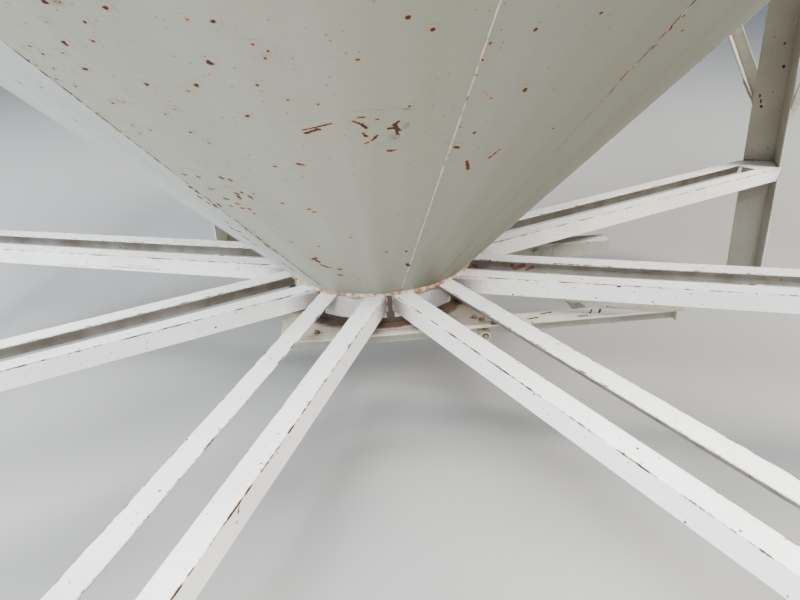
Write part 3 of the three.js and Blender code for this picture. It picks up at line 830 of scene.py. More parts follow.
# The node, the copy, its material and slot, how round its edges are, the shortest of them, stamped or not
IRONS = [("strut_pair", "strut_irons", strut_enamel, "strut_paint", IRON_ROUND, 60, True),
         ("leg", "leg_iron", leg_enamel, "bin_paint", 2 * IRON_ROUND, 100, True),
         ("bay_frame", "bay_irons", brace_enamel, "bin_paint", IRON_ROUND, 150, False)]
for node, copy, finish, slot, radius, shortest, stamped in IRONS:
    rounded = 0
    for index in range(1, BAYS + 1):
        iron_work = copy_of(f"{node}_{index}")
        rounded += round_edges(iron_work, radius, shortest)
        if stamped:
            stamp_place(iron_work, leg_direction(index))
        finish_piece(f"{copy}_{index}", iron_work, finish, stands_for=[f"{node}_{index}"])
    print("edges rounded on", copy, rounded)

# %% [markdown]
# ## The hopper cone
# A shop rolls each plate of the cone to a smooth curve, while the imported model has flat facets. The
# visible plate is spun afresh: a thin section of the plate is turned about the silo's axis in
# many small steps, from one seam to the next. The plate before the rusty seam hangs over the edge
# of the bin's shadow, so it takes the paler coat of painted sky light.

# %% Spin the cone plates
SHEET = 5
PLATE_STEPS = 40
SEAM_GAP = 0.3


def spun_plate(section, start, sweep, steps):
    """A closed plate, turned from a section of (radius, height) points through a sweep in degrees."""
    work = bmesh.new()
    points = [work.verts.new(Vector((radius, 0, height)) * MM) for radius, height in section]
    work.faces.new(points)
    bmesh.ops.transform(work, matrix=turned_by(start), verts=work.verts)
    bmesh.ops.spin(work, geom=work.faces[:] + work.edges[:] + work.verts[:], cent=(0, 0, 0), axis=(0, 0, 1),
                   angle=math.radians(sweep), steps=steps, use_duplicate=False)
    bmesh.ops.recalc_face_normals(work, faces=work.faces)
    return work


slant = SHEET * math.sqrt(2)
cone_section = [(OUTLET_R, cone.foot), (cone.outer, cone.top), (cone.outer - slant, cone.top),
                (OUTLET_R - slant, cone.foot)]
gap_angle = math.degrees(SEAM_GAP / cone.outer)
for index in range(1, BAYS + 1):
    start = SEAM_TURN + BAY_ANGLE * (index - 1) + gap_angle / 2
    plate_work = spun_plate(cone_section, start, BAY_ANGLE - gap_angle, PLATE_STEPS)
    faces = len(plate_work.faces)
    # The plate before the rusty seam takes the coat with painted sky light.
    finish = sky_lit_enamel if index == DARK_SEAM - 1 else hopper_enamel
    finish_piece(f"rolled_cone_plate_{index}", plate_work, finish,
                 stands_for=[f"cone_plate_{index}"])
print("faces in a cone plate:", faces)

# %% [markdown]
# ## Wall, roof, neck and lid
# The photograph cuts these off, so they follow the cone's manner: rolled plate, butt welded. The
# wall and roof are spun like the cone, and the neck and lid are smooth-shaded copies.

# %% Spin the wall and roof, and smooth the neck and lid
roof = reach("roof_1")
ROOF_SLOPE = math.radians(30)
roof_depth = SHEET / math.cos(ROOF_SLOPE)
wall_section = [(wall.outer, wall.foot), (wall.outer, wall.top), (wall.outer - SHEET, wall.top),
                (wall.outer - SHEET, wall.foot)]
roof_section = [(roof.outer, roof.foot), (roof.outer, roof.foot + roof_depth), (roof.inner, roof.top),
                (roof.inner, roof.top - roof_depth)]
for index in range(1, QUARTERS + 1):
    start = BAY_TURN + QUARTER * (index - 1) + gap_angle / 2
    for part, section in (("wall", wall_section), ("roof", roof_section)):
        plate_work = spun_plate(section, start, QUARTER - gap_angle, 2 * PLATE_STEPS)
        finish_piece(f"rolled_{part}_{index}", plate_work, wall_enamel,
                     stands_for=[f"{part}_{index}"])
for node, piece in (("filling_neck", "rolled_neck"), ("neck_lid", "pressed_lid")):
    finish_piece(piece, copy_of(node), wall_enamel, stands_for=[node])
print("roof from radius", round(roof.inner), "to", round(roof.outer))

# %% [markdown]
# ## The collar
# The short round collar below the cone is white. Below its lip and in the wedges between the pairs
# of struts it is painted dark brown: painted shade with some grime. Its side towards the gate's open
# end takes the cone's olive film and painted shade. The wedges repeat eight times round the
# axis, so the cosine of eight times the direction picks them out.

# %% Dress the collar
LIP, LIP_EDGE = 573, (-2, 2)        # height of the lip's underside, and where the painted shade and grime set in round it
SHADE_AND_GRIME_RAGGED = (14, 3.0)
SHADE_AND_GRIME_SHARE = 0.98
OLIVE_AND_SHADE_ON_IRON = 0.55                 # how much of the cone's olive film and painted shade the collar and the gate take
WEDGE_HALF = 2.1                    # degrees, half the wedge that two pairs of struts leave at the collar
WEDGE_EDGE = 0.06                   # how far the cosine falls from the painted shade of a wedge to clean paint


def collar_shade_and_grime(tree, place):
    """Share of painted shade and grime under the lip and in the wedges, and of olive film and shade on one
    side.
    """
    parts = add_node(tree, "SeparateXYZ", {"Vector": wobbled(tree, place, *SHADE_AND_GRIME_RAGGED)}, None)
    under = add_node(tree, "Math", {0: LIP * MM, 1: parts["Z"]}, operation="SUBTRACT")
    shade = add_node(tree, "Math", {0: edge_of(tree, under, *LIP_EDGE), 1: SHADE_AND_GRIME_SHARE},
                     operation="MULTIPLY")
    angle = add_node(tree, "Math", {0: parts["Y"], 1: parts["X"]}, operation="ARCTAN2")
    phase = add_node(tree, "Math", {0: angle, 1: BAYS, 2: -math.radians(BAY_TURN) * BAYS},
                     operation="MULTIPLY_ADD")
    wave = add_node(tree, "Math", {0: phase}, operation="COSINE")
    inner = math.cos(math.radians(WEDGE_HALF) * BAYS)
    wedge = add_node(tree, "MapRange", {"Value": wave, "From Min": inner - WEDGE_EDGE, "From Max": inner,
                                        "To Max": SHADE_AND_GRIME_SHARE})
    olive_and_shade = add_node(tree, "Math", {0: olive_film_and_shade(tree, place), 1: OLIVE_AND_SHADE_ON_IRON}, operation="MULTIPLY")
    return deepest(tree, [shade, wedge, olive_and_shade])


collar_enamel = enamel("white_enamel_on_collar", "#e0dfda", "#b3ab9a", 0.5, 30, 2.6, shade_and_grime=collar_shade_and_grime,
                       shade_and_grime_colour="#3a2b20")
finish_piece("rolled_collar", copy_of("outlet_collar"), collar_enamel,
             stands_for=["outlet_collar"])
print("collar from", round(collar.foot), "to", round(collar.top))

# %% [markdown]
# ## Weld beads
# A weld bead is a low ridge with fine ripples, one for each dab of the rod. A round bar makes the
# bead: for a seam it is a cylinder cut into short rings, and for a circle it is a small circle spun
# about the axis. Then every ring is made a little thicker or thinner, and the whole lies half sunk
# in the plate.

# %% Helpers for beads
RIPPLE = 0.1            # how much thicker a bead is on a ripple than between two
SEEDS = 50              # range of the seeds that set one bead's lumps apart from another's


def join_into(work, part, place=None):
    """Moves a finished small bmesh to its place and adds it to a larger one."""
    if place:
        bmesh.ops.transform(part, matrix=place, verts=part.verts)
    carrier = bpy.data.meshes.new("carrier")
    part.to_mesh(carrier)
    part.free()
    work.from_mesh(carrier)
    bpy.data.meshes.remove(carrier)


def round_bar(radius, length, sides):
    """A closed cylinder that stands upright about the origin, in millimetres."""
    work = bmesh.new()
    bmesh.ops.create_cone(work, cap_ends=True, segments=sides, radius1=radius * MM, radius2=radius * MM,
                          depth=length * MM)
    return work


def swell(run, pitch, ripple, rough, seed):
    """How much thicker a bead is at a length along it, in millimetres."""
    lump = noise.noise(Vector((run / (3 * pitch), seed, 0.5)))
    return (1 + ripple * math.sin(run / pitch * math.tau)) * (1 + rough * lump)


def straight_bead(work, start, end, radius, pitch=6.0, rough=0.25, sides=8):
    """Adds a bead between two points, all in millimetres."""
    first, last = Vector(start) * MM, Vector(end) * MM
    length = (last - first).length
    rod = round_bar(radius, length / MM, sides)
    long_edges = [edge for edge in rod.edges if abs(edge.verts[0].co.z - edge.verts[1].co.z) > 0.9 * length]
    bmesh.ops.subdivide_edges(rod, edges=long_edges, cuts=max(2, int(length / (pitch / 2 * MM))))
    seed = random.uniform(0, SEEDS)
    for vertex in rod.verts:
        thick = swell(vertex.co.z / MM, pitch, RIPPLE, rough, seed)
        vertex.co = Vector((vertex.co.x * thick, vertex.co.y * thick, vertex.co.z))
    turn = (last - first).to_track_quat("Z", "Y").to_matrix().to_4x4()
    join_into(work, rod, Matrix.Translation((first + last) / 2) @ turn)


def ring_bead(work, ring_radius, height, radius, pitch=6.0, ripple=RIPPLE, rough=0.25, sides=8):
    """Adds a bead right round the silo's axis at a height, all in millimetres."""
    ring = bmesh.new()
    made = bmesh.ops.create_circle(ring, cap_ends=False, segments=sides, radius=radius * MM)
    stand = Matrix.Translation(Vector((ring_radius, 0, height)) * MM) @ Matrix.Rotation(math.pi / 2, 4, "X")
    bmesh.ops.transform(ring, matrix=stand, verts=made["verts"])
    bmesh.ops.spin(ring, geom=ring.edges[:] + ring.verts[:], cent=(0, 0, 0), axis=(0, 0, 1), angle=math.tau,
                   steps=int(math.tau * ring_radius / (pitch / 2)), use_merge=True, use_duplicate=False)
    seed = random.uniform(0, SEEDS)
    for vertex in ring.verts:
        flat = Vector((vertex.co.x, vertex.co.y, 0)).normalized()
        centre = flat * ring_radius * MM + Vector((0, 0, height * MM))
        run = math.atan2(flat.y, flat.x) * ring_radius
        vertex.co = centre + (vertex.co - centre) * swell(run, pitch, ripple, rough, seed)
    bmesh.ops.recalc_face_normals(ring, faces=ring.faces)
    join_into(work, ring)


# %% [markdown]
# ## The seams of the cone and the weld at its foot
# Eight seams run up the cone. Most were painted over well and show as a fine light ridge. The one
# left of the photograph's view has rusted into a dark line. On the right a ninth seam closes the
# cone, where the last plate was cut narrower to fit, and its upper half has rusted too. At the
# foot the cone meets the tops of the struts and the collar in one rough, thick weld.

# %% Weld the cone
SEAM_BEAD = 2.6
SEAM_SUNK = 1.5
SEAM_FOOT, SEAM_TOP = 6, cone.top - cone.foot - 2       # heights above the cone's foot
CLOSING_TURN = -60.4
CLOSING_RUST = 700      # from here upwards the closing seam has rusted
LUMPY = 0.5             # roughness of a bead laid by hand
FOOT_OUT, FOOT_UP = 4, 1.5      # from the edge of the cone's foot to the middle of its weld
FOOT_BEAD = {"radius": 9.0, "pitch": 11, "ripple": 0.12, "rough": 0.6, "sides": 10}


def lay_seam(name, turn, low, high, metal):
    """Lays a bead up the cone in a direction, between two heights above the cone's foot."""
    work = bmesh.new()
    inset = SEAM_SUNK / math.sqrt(2)
    ends = [turned_by(turn) @ Vector((OUTLET_R + height - inset, 0, cone.foot + height + inset))
            for height in (low, high)]
    straight_bead(work, ends[0], ends[1], SEAM_BEAD, rough=LUMPY)
    print("faces in", name, len(work.faces))
    finish_piece(name, work, metal)


for index in range(1, BAYS + 1):
    metal = dark_seam_metal if index == DARK_SEAM else seam_weld_metal
    lay_seam(f"cone_seam_{index}", SEAM_TURN + BAY_ANGLE * (index - 1), SEAM_FOOT, SEAM_TOP, metal)
lay_seam("closing_seam_painted", CLOSING_TURN, SEAM_FOOT, CLOSING_RUST, hopper_enamel)
lay_seam("closing_seam_rusted", CLOSING_TURN, CLOSING_RUST, SEAM_TOP, dark_seam_metal)

foot_work = bmesh.new()
ring_bead(foot_work, OUTLET_R + FOOT_OUT, cone.foot + FOOT_UP, **FOOT_BEAD)
finish_piece("cone_foot_weld", foot_work, foot_weld_metal)

# %% [markdown]
# ## Rust scabs on the cone
# The photograph shows some larger marks: scratches that have rusted, and places where a tool or
# a hook has struck the cone. Rust takes more room than steel, so such a mark swells into a thin scab.
# Each one is a fine grid laid on the cone, with the depth of rust stored at every vertex. Towards
# its rim the scab is painted like the plate below it, in the same pattern, so no rim shows.

# %% Places of the marks

# Each mark is a group of strokes. A stroke runs from one pixel of the photograph to another and has
# a half width in millimetres
MARKS = [
    [((303, 130), (331, 123.5), 2.6), ((306, 133), (319, 129.3), 4.4)],
    [((353, 121), (362, 124.2), 3.2), ((362, 124.2), (366, 128), 4.2), ((358.5, 117.5), (364.5, 117.1), 3.0),
     ((363.5, 133.2), (366.5, 136.2), 3.4), ((365.5, 143), (368.5, 142), 3.0),
     ((372.5, 140.5), (377.5, 135.2), 3.4), ((376, 119.3), (378.5, 119.2), 2.6),
     ((388, 128.8), (393, 127.8), 4.2), ((393, 127.8), (400.5, 129.8), 4.2),
     ((393.5, 124.8), (398.8, 121.3), 3.8), ((396.5, 130), (397.5, 134.2), 4.2),
     ((395, 124.5), (397, 128), 4.0)],
    [((389, 150.5), (391.5, 150.5), 4.4), ((392, 150.3), (396, 149.7), 2.0)],
    [((488, 158.5), (500, 149), 2.6)], [((467, 161), (468, 169), 4.4)],
    [((454.5, 147), (458, 147.5), 4.6)], [((407.5, 17), (408.5, 17.5), 4.8)],
    [((432, 29.5), (433, 29.5), 4.2)], [((357, 59.5), (358, 59.5), 3.9)],
    [((525, 89), (525, 90.5), 5.0)], [((208, 62), (211, 63.5), 5.2)],
    [((196, 85), (197, 85.2), 5.0)], [((44, 1), (46, 2), 5.6)], [((106, 8), (107, 8), 4.6)],
    [((84, 68.8), (86, 69), 4.8)], [((64, 42), (66, 44), 5.0)], [((92, 40.5), (93, 41), 4.2)],
    [((213, 21.5), (214, 21.5), 4.2)], [((247, 116), (248, 116), 4.2)], [((146, 84), (147, 84.3), 4.2)],
    [((297, 163.5), (303.5, 165), 3.6)],
    [((274, 166), (275.5, 166.2), 3.4), ((281.5, 203), (283, 203.2), 3.4)],
    [((307.5, 209), (309.5, 209.2), 3.6), ((313, 211.7), (315, 212), 3.6)],
    [((183.5, 174), (186, 174.8), 3.8), ((197, 176), (199.5, 177.2), 3.8), ((210, 189), (213, 189.3), 3.6)],
    [((220.5, 177), (223, 178.2), 4.2), ((229, 179.5), (231.5, 180.3), 4.0)],
    [((225, 198.5), (228, 199), 4.6), ((236, 193.3), (238, 194), 4.2), ((241, 192), (242, 192.5), 4.0),
     ((238, 196), (240.5, 198.5), 4.4), ((236, 203.5), (238.5, 204), 4.0), ((230, 205.5), (232, 206), 3.4),
     ((241, 207.8), (243.5, 208.2), 3.6), ((248.5, 195.8), (252, 198), 4.0),
     ((249, 208.7), (251, 209.7), 3.8), ((253.5, 213.2), (255, 213.8), 3.4)],
    [((189, 186), (191, 188), 4.4), ((196, 191), (198.5, 193), 4.6)], [((198.5, 196), (201, 198), 4.8)],
    [((207, 202), (210, 204), 3.8), ((214, 205), (216.5, 207), 4.8)], [((218, 204), (221, 206.5), 4.6)],
    [((228, 215), (230, 216.5), 3.8)],
    [((245, 227.5), (247.5, 230), 4.0), ((257, 236.5), (261, 240), 4.6), ((265.5, 243.5), (269, 247), 4.4),
     ((274, 249.5), (277, 252), 4.2)],
    [((225, 221), (228, 223), 3.6), ((230, 226.5), (233, 229), 4.2), ((236, 230.5), (240, 231.5), 4.0),
     ((243, 236), (249, 240), 4.0), ((252, 243), (258, 246), 3.8)],
    [((282.5, 263), (285, 264.5), 3.8), ((288.5, 267), (293.5, 270), 4.2)],
    [((312.5, 259.2), (316.5, 257.8), 4.6), ((316, 260), (319, 261.8), 6.4),
     ((321.5, 264.8), (325, 266), 5.0), ((326, 266.8), (331, 267.4), 4.6)],
    [((338.5, 269), (341, 269.3), 5.0), ((339, 274.8), (341.5, 275), 5.0)],
    [((407, 264), (408.5, 265.5), 6.4)], [((406, 251), (406.5, 252), 3.8)],
    [((386, 251.7), (386.6, 252), 3.4)], [((291.5, 242), (292, 242.3), 3.4)],
    [((318.7, 246.2), (319.2, 246.5), 3.4)], [((350, 237.5), (350.6, 237.6), 3.4)],
    [((628, 71), (620, 80), 3.0)], [((671.5, 26), (670, 29.5), 3.4)], [((655.5, 45), (652.5, 48.5), 3.0)],
    [((684, 15.5), (683, 16.5), 3.4)],
]
# Small spots, a pixel each
SPOTS = [(46, 22), (85, 22), (23, 48), (30, 46), (43, 54), (63, 53), (75, 86), (117, 100), (113, 103),
         (123, 102), (132, 125), (139, 133), (150, 130), (165, 114), (174, 109), (190, 132), (209, 143),
         (188, 91), (187, 19), (252, 44), (20, 83), (75, 120), (55, 1), (60, 2), (36, 65), (56, 79),
         (98, 113), (121, 131), (268, 51), (265, 58), (257, 85), (288, 100), (318, 104), (409, 106),
         (406, 126), (394, 138), (487, 94.5), (491, 98), (460, 127), (490, 43), (485, 48), (482, 60),
         (475, 75), (601, 101), (553, 128)]
SPOT_HALF = 2.8
SPOT_RUN = (0.7, 0.3)       # of its short stroke, in pixels
MARKS += [[((x, y), (x + SPOT_RUN[0], y + SPOT_RUN[1]), SPOT_HALF)] for x, y in SPOTS]
print("marks on the cone:", len(MARKS))

# %% Lay the scabs
SCAB_GRID = 1.9         # millimetres between the points of a scab
SCAB_MARGIN = 9.0       # painted rim round the rust
SCAB_PROUD, SCAB_T = 0.25, 0.2
SCAB_RAGGED = 2.2
SCAB_NOISE = 7          # size of that raggedness
FULL_RAGGED = 3         # half width from which a stroke is ragged in full
HALO_SLOPE = 0.22       # depth lost per millimetre outside the rust, so the stain reaches a few millimetres


def stroke_depth(point, first, last, half_width):
    """Half width less the distance from a point to a stroke, made ragged by noise, in millimetres."""
    run = last - first
    part = max(0, min(1, (point - first).dot(run) / run.length_squared))
    lumps = noise.fractal(point / SCAB_NOISE, 0.8, 2.0, 3)
    ragged = SCAB_RAGGED * lumps * min(1, half_width / FULL_RAGGED)
    return half_width - (point - first - run * part).length + ragged


def lay_scab(work, mark):
    """Adds the scab of a group of strokes to a bmesh."""
    strokes = [(on_cone(start), on_cone(end), half_width) for start, end, half_width in mark]
    ends = [point for first, last, _ in strokes for point in (first, last)]
    middle = sum(ends, Vector()) / len(ends)
    normal = (Vector((middle.x, middle.y, 0)).normalized() - Vector((0, 0, 1))).normalized()
    along = Vector((0, 0, 1)).cross(normal).normalized()
    across = normal.cross(along)
    room = max(half_width for _, _, half_width in strokes) + SCAB_MARGIN
    half_x = max(abs((end - middle).dot(along)) for end in ends) + room
    half_y = max(abs((end - middle).dot(across)) for end in ends) + room
    scab = bmesh.new()
    layer = scab.verts.layers.float.new("rust_depth")
    bmesh.ops.create_grid(scab, x_segments=int(2 * half_x / SCAB_GRID),
                          y_segments=int(2 * half_y / SCAB_GRID), size=1)
    for vertex in scab.verts:
        x, y = vertex.co.x * half_x, vertex.co.y * half_y
        point = middle + along * x + across * y
        depth = max(stroke_depth(point, *stroke) for stroke in strokes)
        depth *= HALO_SLOPE if depth < 0 else 1
        rim = min(half_x - abs(x), half_y - abs(y)) - SCAB_MARGIN / 2
        vertex[layer] = min(depth, rim) * MM
        flat = Vector((point.x, point.y, 0)).normalized()
        radius = OUTLET_R + point.z - cone.foot + SCAB_PROUD * math.sqrt(2)
        vertex.co = (flat * radius + Vector((0, 0, point.z))) * MM
    facing = sum((face.normal for face in scab.faces), Vector()).dot(normal)
    if facing < 0:
        bmesh.ops.reverse_faces(scab, faces=scab.faces)
    bmesh.ops.solidify(scab, geom=scab.faces[:], thickness=SCAB_T * MM)
    join_into(work, scab)


def before_dark_seam(mark):
    """Whether a mark starts on the plate of painted sky light, the one before the rusty seam."""
    spot = on_cone(mark[0][0])
    return math.degrees(math.atan2(spot.y, spot.x)) % 360 < dark_seam_direction()


# Scabs on that plate take its coat with painted sky light.
for name, finish, on_sky_lit_plate in (("cone_rust_scabs", chipped_enamel, False),
                             ("sky_lit_plate_rust_scabs", sky_lit_scab_enamel, True)):
    scab_work = bmesh.new()
    scab_work.verts.layers.float.new("rust_depth")
    for mark in MARKS:
        if before_dark_seam(mark) == on_sky_lit_plate:
            lay_scab(scab_work, mark)
    print("faces in", name, len(scab_work.faces))
    finish_piece(name, scab_work, finish)

# %% [markdown]
# ## The gate
# The gate hangs below the collar: two angle-iron rails, a spacer and a top plate between them, and
# the blade that slides on rollers. The rails and plates were painted cream. The webs of the rails,
# under the flanges, get a painted shade, and the paint has peeled off the front rail in streaks.

# %% Patterns for the rails
RAIL_TOP = corners("rail_front")[1].z
FLANGE_GAP = 5          # from the top of a rail to where the painted shade on its web sets in
WEB_RAGGED = (20, 1.5)
WEB_CLOUD, WEB_SHARES = 90, (0.6, 1.0)
OPEN_END, OPEN_END_SHARES = (330, 480), (0.2, 0.45)     # along X, where the painted shade on the webs grows

# Streaks where the enamel has peeled off the front rail, from pixel to pixel, with a half width
RAIL_STREAKS = [((528, 319), (537, 317.5), 5), ((541, 314), (551, 312), 4.5), ((590, 313), (592, 309), 3.5),
                ((599, 312.5), (600.5, 309), 4), ((604, 305.5), (616, 308), 2.5), ((516, 311), (530, 307), 3),
                ((578, 316), (587, 316), 4)]


def shade_below_flange(tree, place):
    """Share of painted shade on the webs of the rails, below the flange."""
    parts = add_node(tree, "SeparateXYZ", {"Vector": wobbled(tree, place, *WEB_RAGGED)}, None)
    under = add_node(tree, "Math", {0: (RAIL_TOP - FLANGE_GAP) * MM, 1: parts["Z"]}, operation="SUBTRACT")
    amount = patches(tree, place, WEB_CLOUD, 4.0, SHADE_LIMITS, WEB_SHARES)
    open_end = add_node(tree, "MapRange", {"Value": parts["X"], "From Min": OPEN_END[0] * MM,
                                           "From Max": OPEN_END[1] * MM, "To Min": OPEN_END_SHARES[0],
                                           "To Max": OPEN_END_SHARES[1]})
    web = add_node(tree, "Math", {0: amount, 1: open_end}, operation="MULTIPLY")
    return add_node(tree, "Math", {0: edge_of(tree, under, 0, 2), 1: web}, operation="MULTIPLY")


def rail_marks(tree, place):
    """Depth of rust in the streaks on the front rail, in metres."""
    top = Vector((0, 0, RAIL_TOP))
    upwards = Vector((0, 0, 1))
    strokes = [(on_face(start, top, upwards), on_face(end, top, upwards), half_width)
               for start, end, half_width in RAIL_STREAKS]
    return deepest(tree, stroke_depths(tree, place, strokes))


# %% [markdown]
# Water runs off the collar onto the plates and leaves a rust-brown stain round the outlet. Copies
# with rounded edges replace the gate's pieces, and the blade and its shaft get bare rusty steel.

# %% Dress the gate
STAIN_RAGGED = (70, 34)         # size and reach of the waves in the stain's outline
STAIN_REACH = 34                # beyond the outlet's radius
STAIN_FADE, STAIN_FULL = (-24, 10), 0.93


def outlet_stain_and_shade(tree, place):
    """Share of rust-brown stain round the outlet on the plates, and of olive film and painted shade."""
    flat = add_node(tree, "VectorMath", {0: wobbled(tree, place, *STAIN_RAGGED), 1: (1, 1, 0)},
                    operation="MULTIPLY")
    radius = add_node(tree, "VectorMath", {0: flat}, "Value", operation="LENGTH")
    near = add_node(tree, "Math", {0: (OUTLET_R + STAIN_REACH) * MM, 1: radius}, operation="SUBTRACT")
    stain = add_node(tree, "Math", {0: edge_of(tree, near, *STAIN_FADE), 1: STAIN_FULL},
                     operation="MULTIPLY")
    # The cone's olive film and painted shade reach onto the plates.
    olive_and_shade = add_node(tree, "Math", {0: olive_film_and_shade(tree, place), 1: OLIVE_AND_SHADE_ON_IRON}, operation="MULTIPLY")
    return deepest(tree, [stain, olive_and_shade])


plate_enamel = enamel("cream_enamel_on_gate_plate", "#cbbfae", "#8d8069", 0.75, 30, 3.4,
                      shade_and_grime=outlet_stain_and_shade, shade_and_grime_colour="#3f2a20")
rail_enamel = enamel("peeling_enamel_on_rail", "#c8c5b9", "#9b917c", 0.7, 34, 3.4, rust=rail_marks,
                     shade_and_grime=shade_below_flange, shade_and_grime_colour="#4d4536")
GATE_ROUND, GATE_SHORTEST = 0.8, 200
gate_finish = {"gate_top_plate": plate_enamel, "gate_spacer_plate": plate_enamel, "rail_front": rail_enamel,
               "rail_rear": rail_enamel, "gate_stop_bar": gate_enamel, "gate_cross_bar": gate_enamel}
for name, finish in gate_finish.items():
    gate_work = copy_of(name)
    round_edges(gate_work, GATE_ROUND, GATE_SHORTEST)
    finish_piece(f"dressed_{name}", gate_work, finish, stands_for=[name])
for name in ("shaft_sleeve_front", "shaft_sleeve_rear"):
    finish_piece(f"dressed_{name}", copy_of(name), gate_enamel, stands_for=[name])
for name, body, steel in (("gate_blade", "blade", blade_steel), ("pinion_shaft", "shaft", shaft_steel)):
    finish_piece(f"dressed_{name}", copy_of(name), steel, body=body, stands_for=[name])
print("top of the rails:", round(RAIL_TOP))

# %% [markdown]
# ## Teeth of the racks and pinions
# A crank on the shaft drives the blade: two pinions on the shaft mesh with two racks below the blade.
# A gear needs the same pitch on both, measured along the pitch circle. A tooth is a small cube
# with its tip drawn in. One tooth of each pinion points straight up, into a gap of the rack.

# %% Cut the teeth
PINION_TEETH = 16
PITCH_R = 20.5
PITCH = math.tau * PITCH_R / PINION_TEETH
PINION_ROOT, PINION_TIP = 17.2, 22.6
RACK_ROOT, RACK_TIP = 519.6, 514.2
TOOTH_ROOT, TOOTH_TIP = 4.6, 1.9
RACK_IN, RACK_W = 190, 25
RACK_CLEAR = 3          # from the ends of the rack to its first and last tooth
shaft_low, shaft_high = corners("pinion_shaft")
shaft_middle = (shaft_low + shaft_high) / 2
blade_low, blade_high = corners("gate_blade")


def tooth(height, width):
    """A tooth that points up, with the middle of its root at the origin."""
    work = bmesh.new()
    bmesh.ops.create_cube(work, size=1)
    bmesh.ops.scale(work, vec=Vector((TOOTH_ROOT, width, height)) * MM, verts=work.verts)
    bmesh.ops.translate(work, vec=(0, 0, height / 2 * MM), verts=work.verts)
    tip = [vertex for vertex in work.verts if vertex.co.z > height / 2 * MM]
    bmesh.ops.scale(work, vec=(TOOTH_TIP / TOOTH_ROOT, 1, 1), verts=tip)
    return work


pinion_work = bmesh.new()
rack_work = bmesh.new()
reach_left = shaft_middle.x - (blade_low.x + RACK_CLEAR + PITCH)
reach_right = blade_high.x - RACK_CLEAR - PITCH / 2 - shaft_middle.x
first_gap, last_gap = -int(reach_left / PITCH), int(reach_right / PITCH)
upside_down = Matrix.Rotation(math.pi, 4, "X")
lift = Matrix.Translation((0, 0, PINION_ROOT * MM))
for side in (-1, 1):
    row = side * (RACK_IN + RACK_W / 2)
    spot = Matrix.Translation(Vector((shaft_middle.x, row, shaft_middle.z)) * MM)
    for count in range(PINION_TEETH):
        swing = Matrix.Rotation(math.tau * count / PINION_TEETH, 4, "Y")
        join_into(pinion_work, tooth(PINION_TIP - PINION_ROOT, RACK_W), spot @ swing @ lift)
    for count in range(first_gap, last_gap):
        at = Vector((shaft_middle.x + (count + 0.5) * PITCH, row, RACK_ROOT))
        join_into(rack_work, tooth(RACK_ROOT - RACK_TIP, RACK_W), Matrix.Translation(at * MM) @ upside_down)
print("teeth on a rack:", last_gap - first_gap)
finish_piece("pinion_teeth", pinion_work, blade_steel, body="shaft")
finish_piece("rack_teeth", rack_work, blade_steel, body="blade")

# %% [markdown]
# ## Bolts and a lug on the gate
# Hexagon bolts hold the plates to the rails. A six-sided cylinder with its top rim bevelled is
# a bolt's head, and a flat round disc is its washer. A small lug with rounded corners stands on the
# rail beside the plates.

# %% Bolt the gate
GATE_BOLT = {"across": 17, "high": 6.5, "washer_r": 10.5, "washer_t": 1.6}
GATE_BOLTS = [(-241, 360), (-60, 355), (130, 358), (299, 343), (322, 364)]      # along X, and out from it
TOP_PLATE = corners("gate_top_plate")[1].z


def hex_bolt(work, at, across, high, washer_r, washer_t, turn):
    """Adds a washer and a hexagon that stand on a level face at a place, in millimetres."""
    base = Vector(at) * MM
    washer_place = Matrix.Translation(base + Vector((0, 0, washer_t / 2 * MM)))
    join_into(work, round_bar(washer_r, washer_t, 20), washer_place)
    head = round_bar(across / math.sqrt(3), high, 6)
    rim = [edge for edge in head.edges if min(vertex.co.z for vertex in edge.verts) > 0]
    bmesh.ops.bevel(head, geom=rim, offset=high / 8 * MM, segments=1, profile=0.5, affect="EDGES",
                    material=-1)
    stand = Matrix.Translation(base + Vector((0, 0, (washer_t + high / 2) * MM)))
    join_into(work, head, stand @ Matrix.Rotation(turn, 4, "Z"))


bolt_work = bmesh.new()
for x, offset in GATE_BOLTS:
    for side in (-1, 1):
        hex_bolt(bolt_work, (x, side * offset, TOP_PLATE), **GATE_BOLT, turn=random.uniform(0, 1))
print("faces in the gate's bolts:", len(bolt_work.faces))
finish_piece("gate_bolts", bolt_work, bolt_zinc)

# %% Stand the lug on the rail
LUG_LOW, LUG_HIGH = (350, 362), (376, 393)      # its corners along X, and out from it
LUG_T = 5
LUG_ROUND = 7

lug_work = bmesh.new()
bmesh.ops.create_cube(lug_work, size=1)
lug_size = Vector((LUG_HIGH[0] - LUG_LOW[0], LUG_HIGH[1] - LUG_LOW[1], LUG_T))
lug_middle = Vector(((LUG_LOW[0] + LUG_HIGH[0]) / 2, -(LUG_LOW[1] + LUG_HIGH[1]) / 2, RAIL_TOP + LUG_T / 2))
bmesh.ops.scale(lug_work, vec=lug_size * MM, verts=lug_work.verts)
bmesh.ops.translate(lug_work, vec=lug_middle * MM, verts=lug_work.verts)
upright_edges = [edge for edge in lug_work.edges
                 if abs(edge.verts[0].co.z - edge.verts[1].co.z) > LUG_T / 2 * MM]
bmesh.ops.bevel(lug_work, geom=upright_edges, offset=LUG_ROUND * MM, segments=4, profile=0.5,
                affect="EDGES", material=-1)
print("lug in millimetres:", [round(side) for side in lug_size])
finish_piece("rail_lug", lug_work, collar_enamel)

# %% [markdown]
# ## Welds at the ends of the struts
# Both sides of each web are welded to the collar, and the seat plate is welded to the inside of the leg.
# The beads run along the edges where the pieces meet. They are worked out once, for a pair
# along X, and turned to each leg.

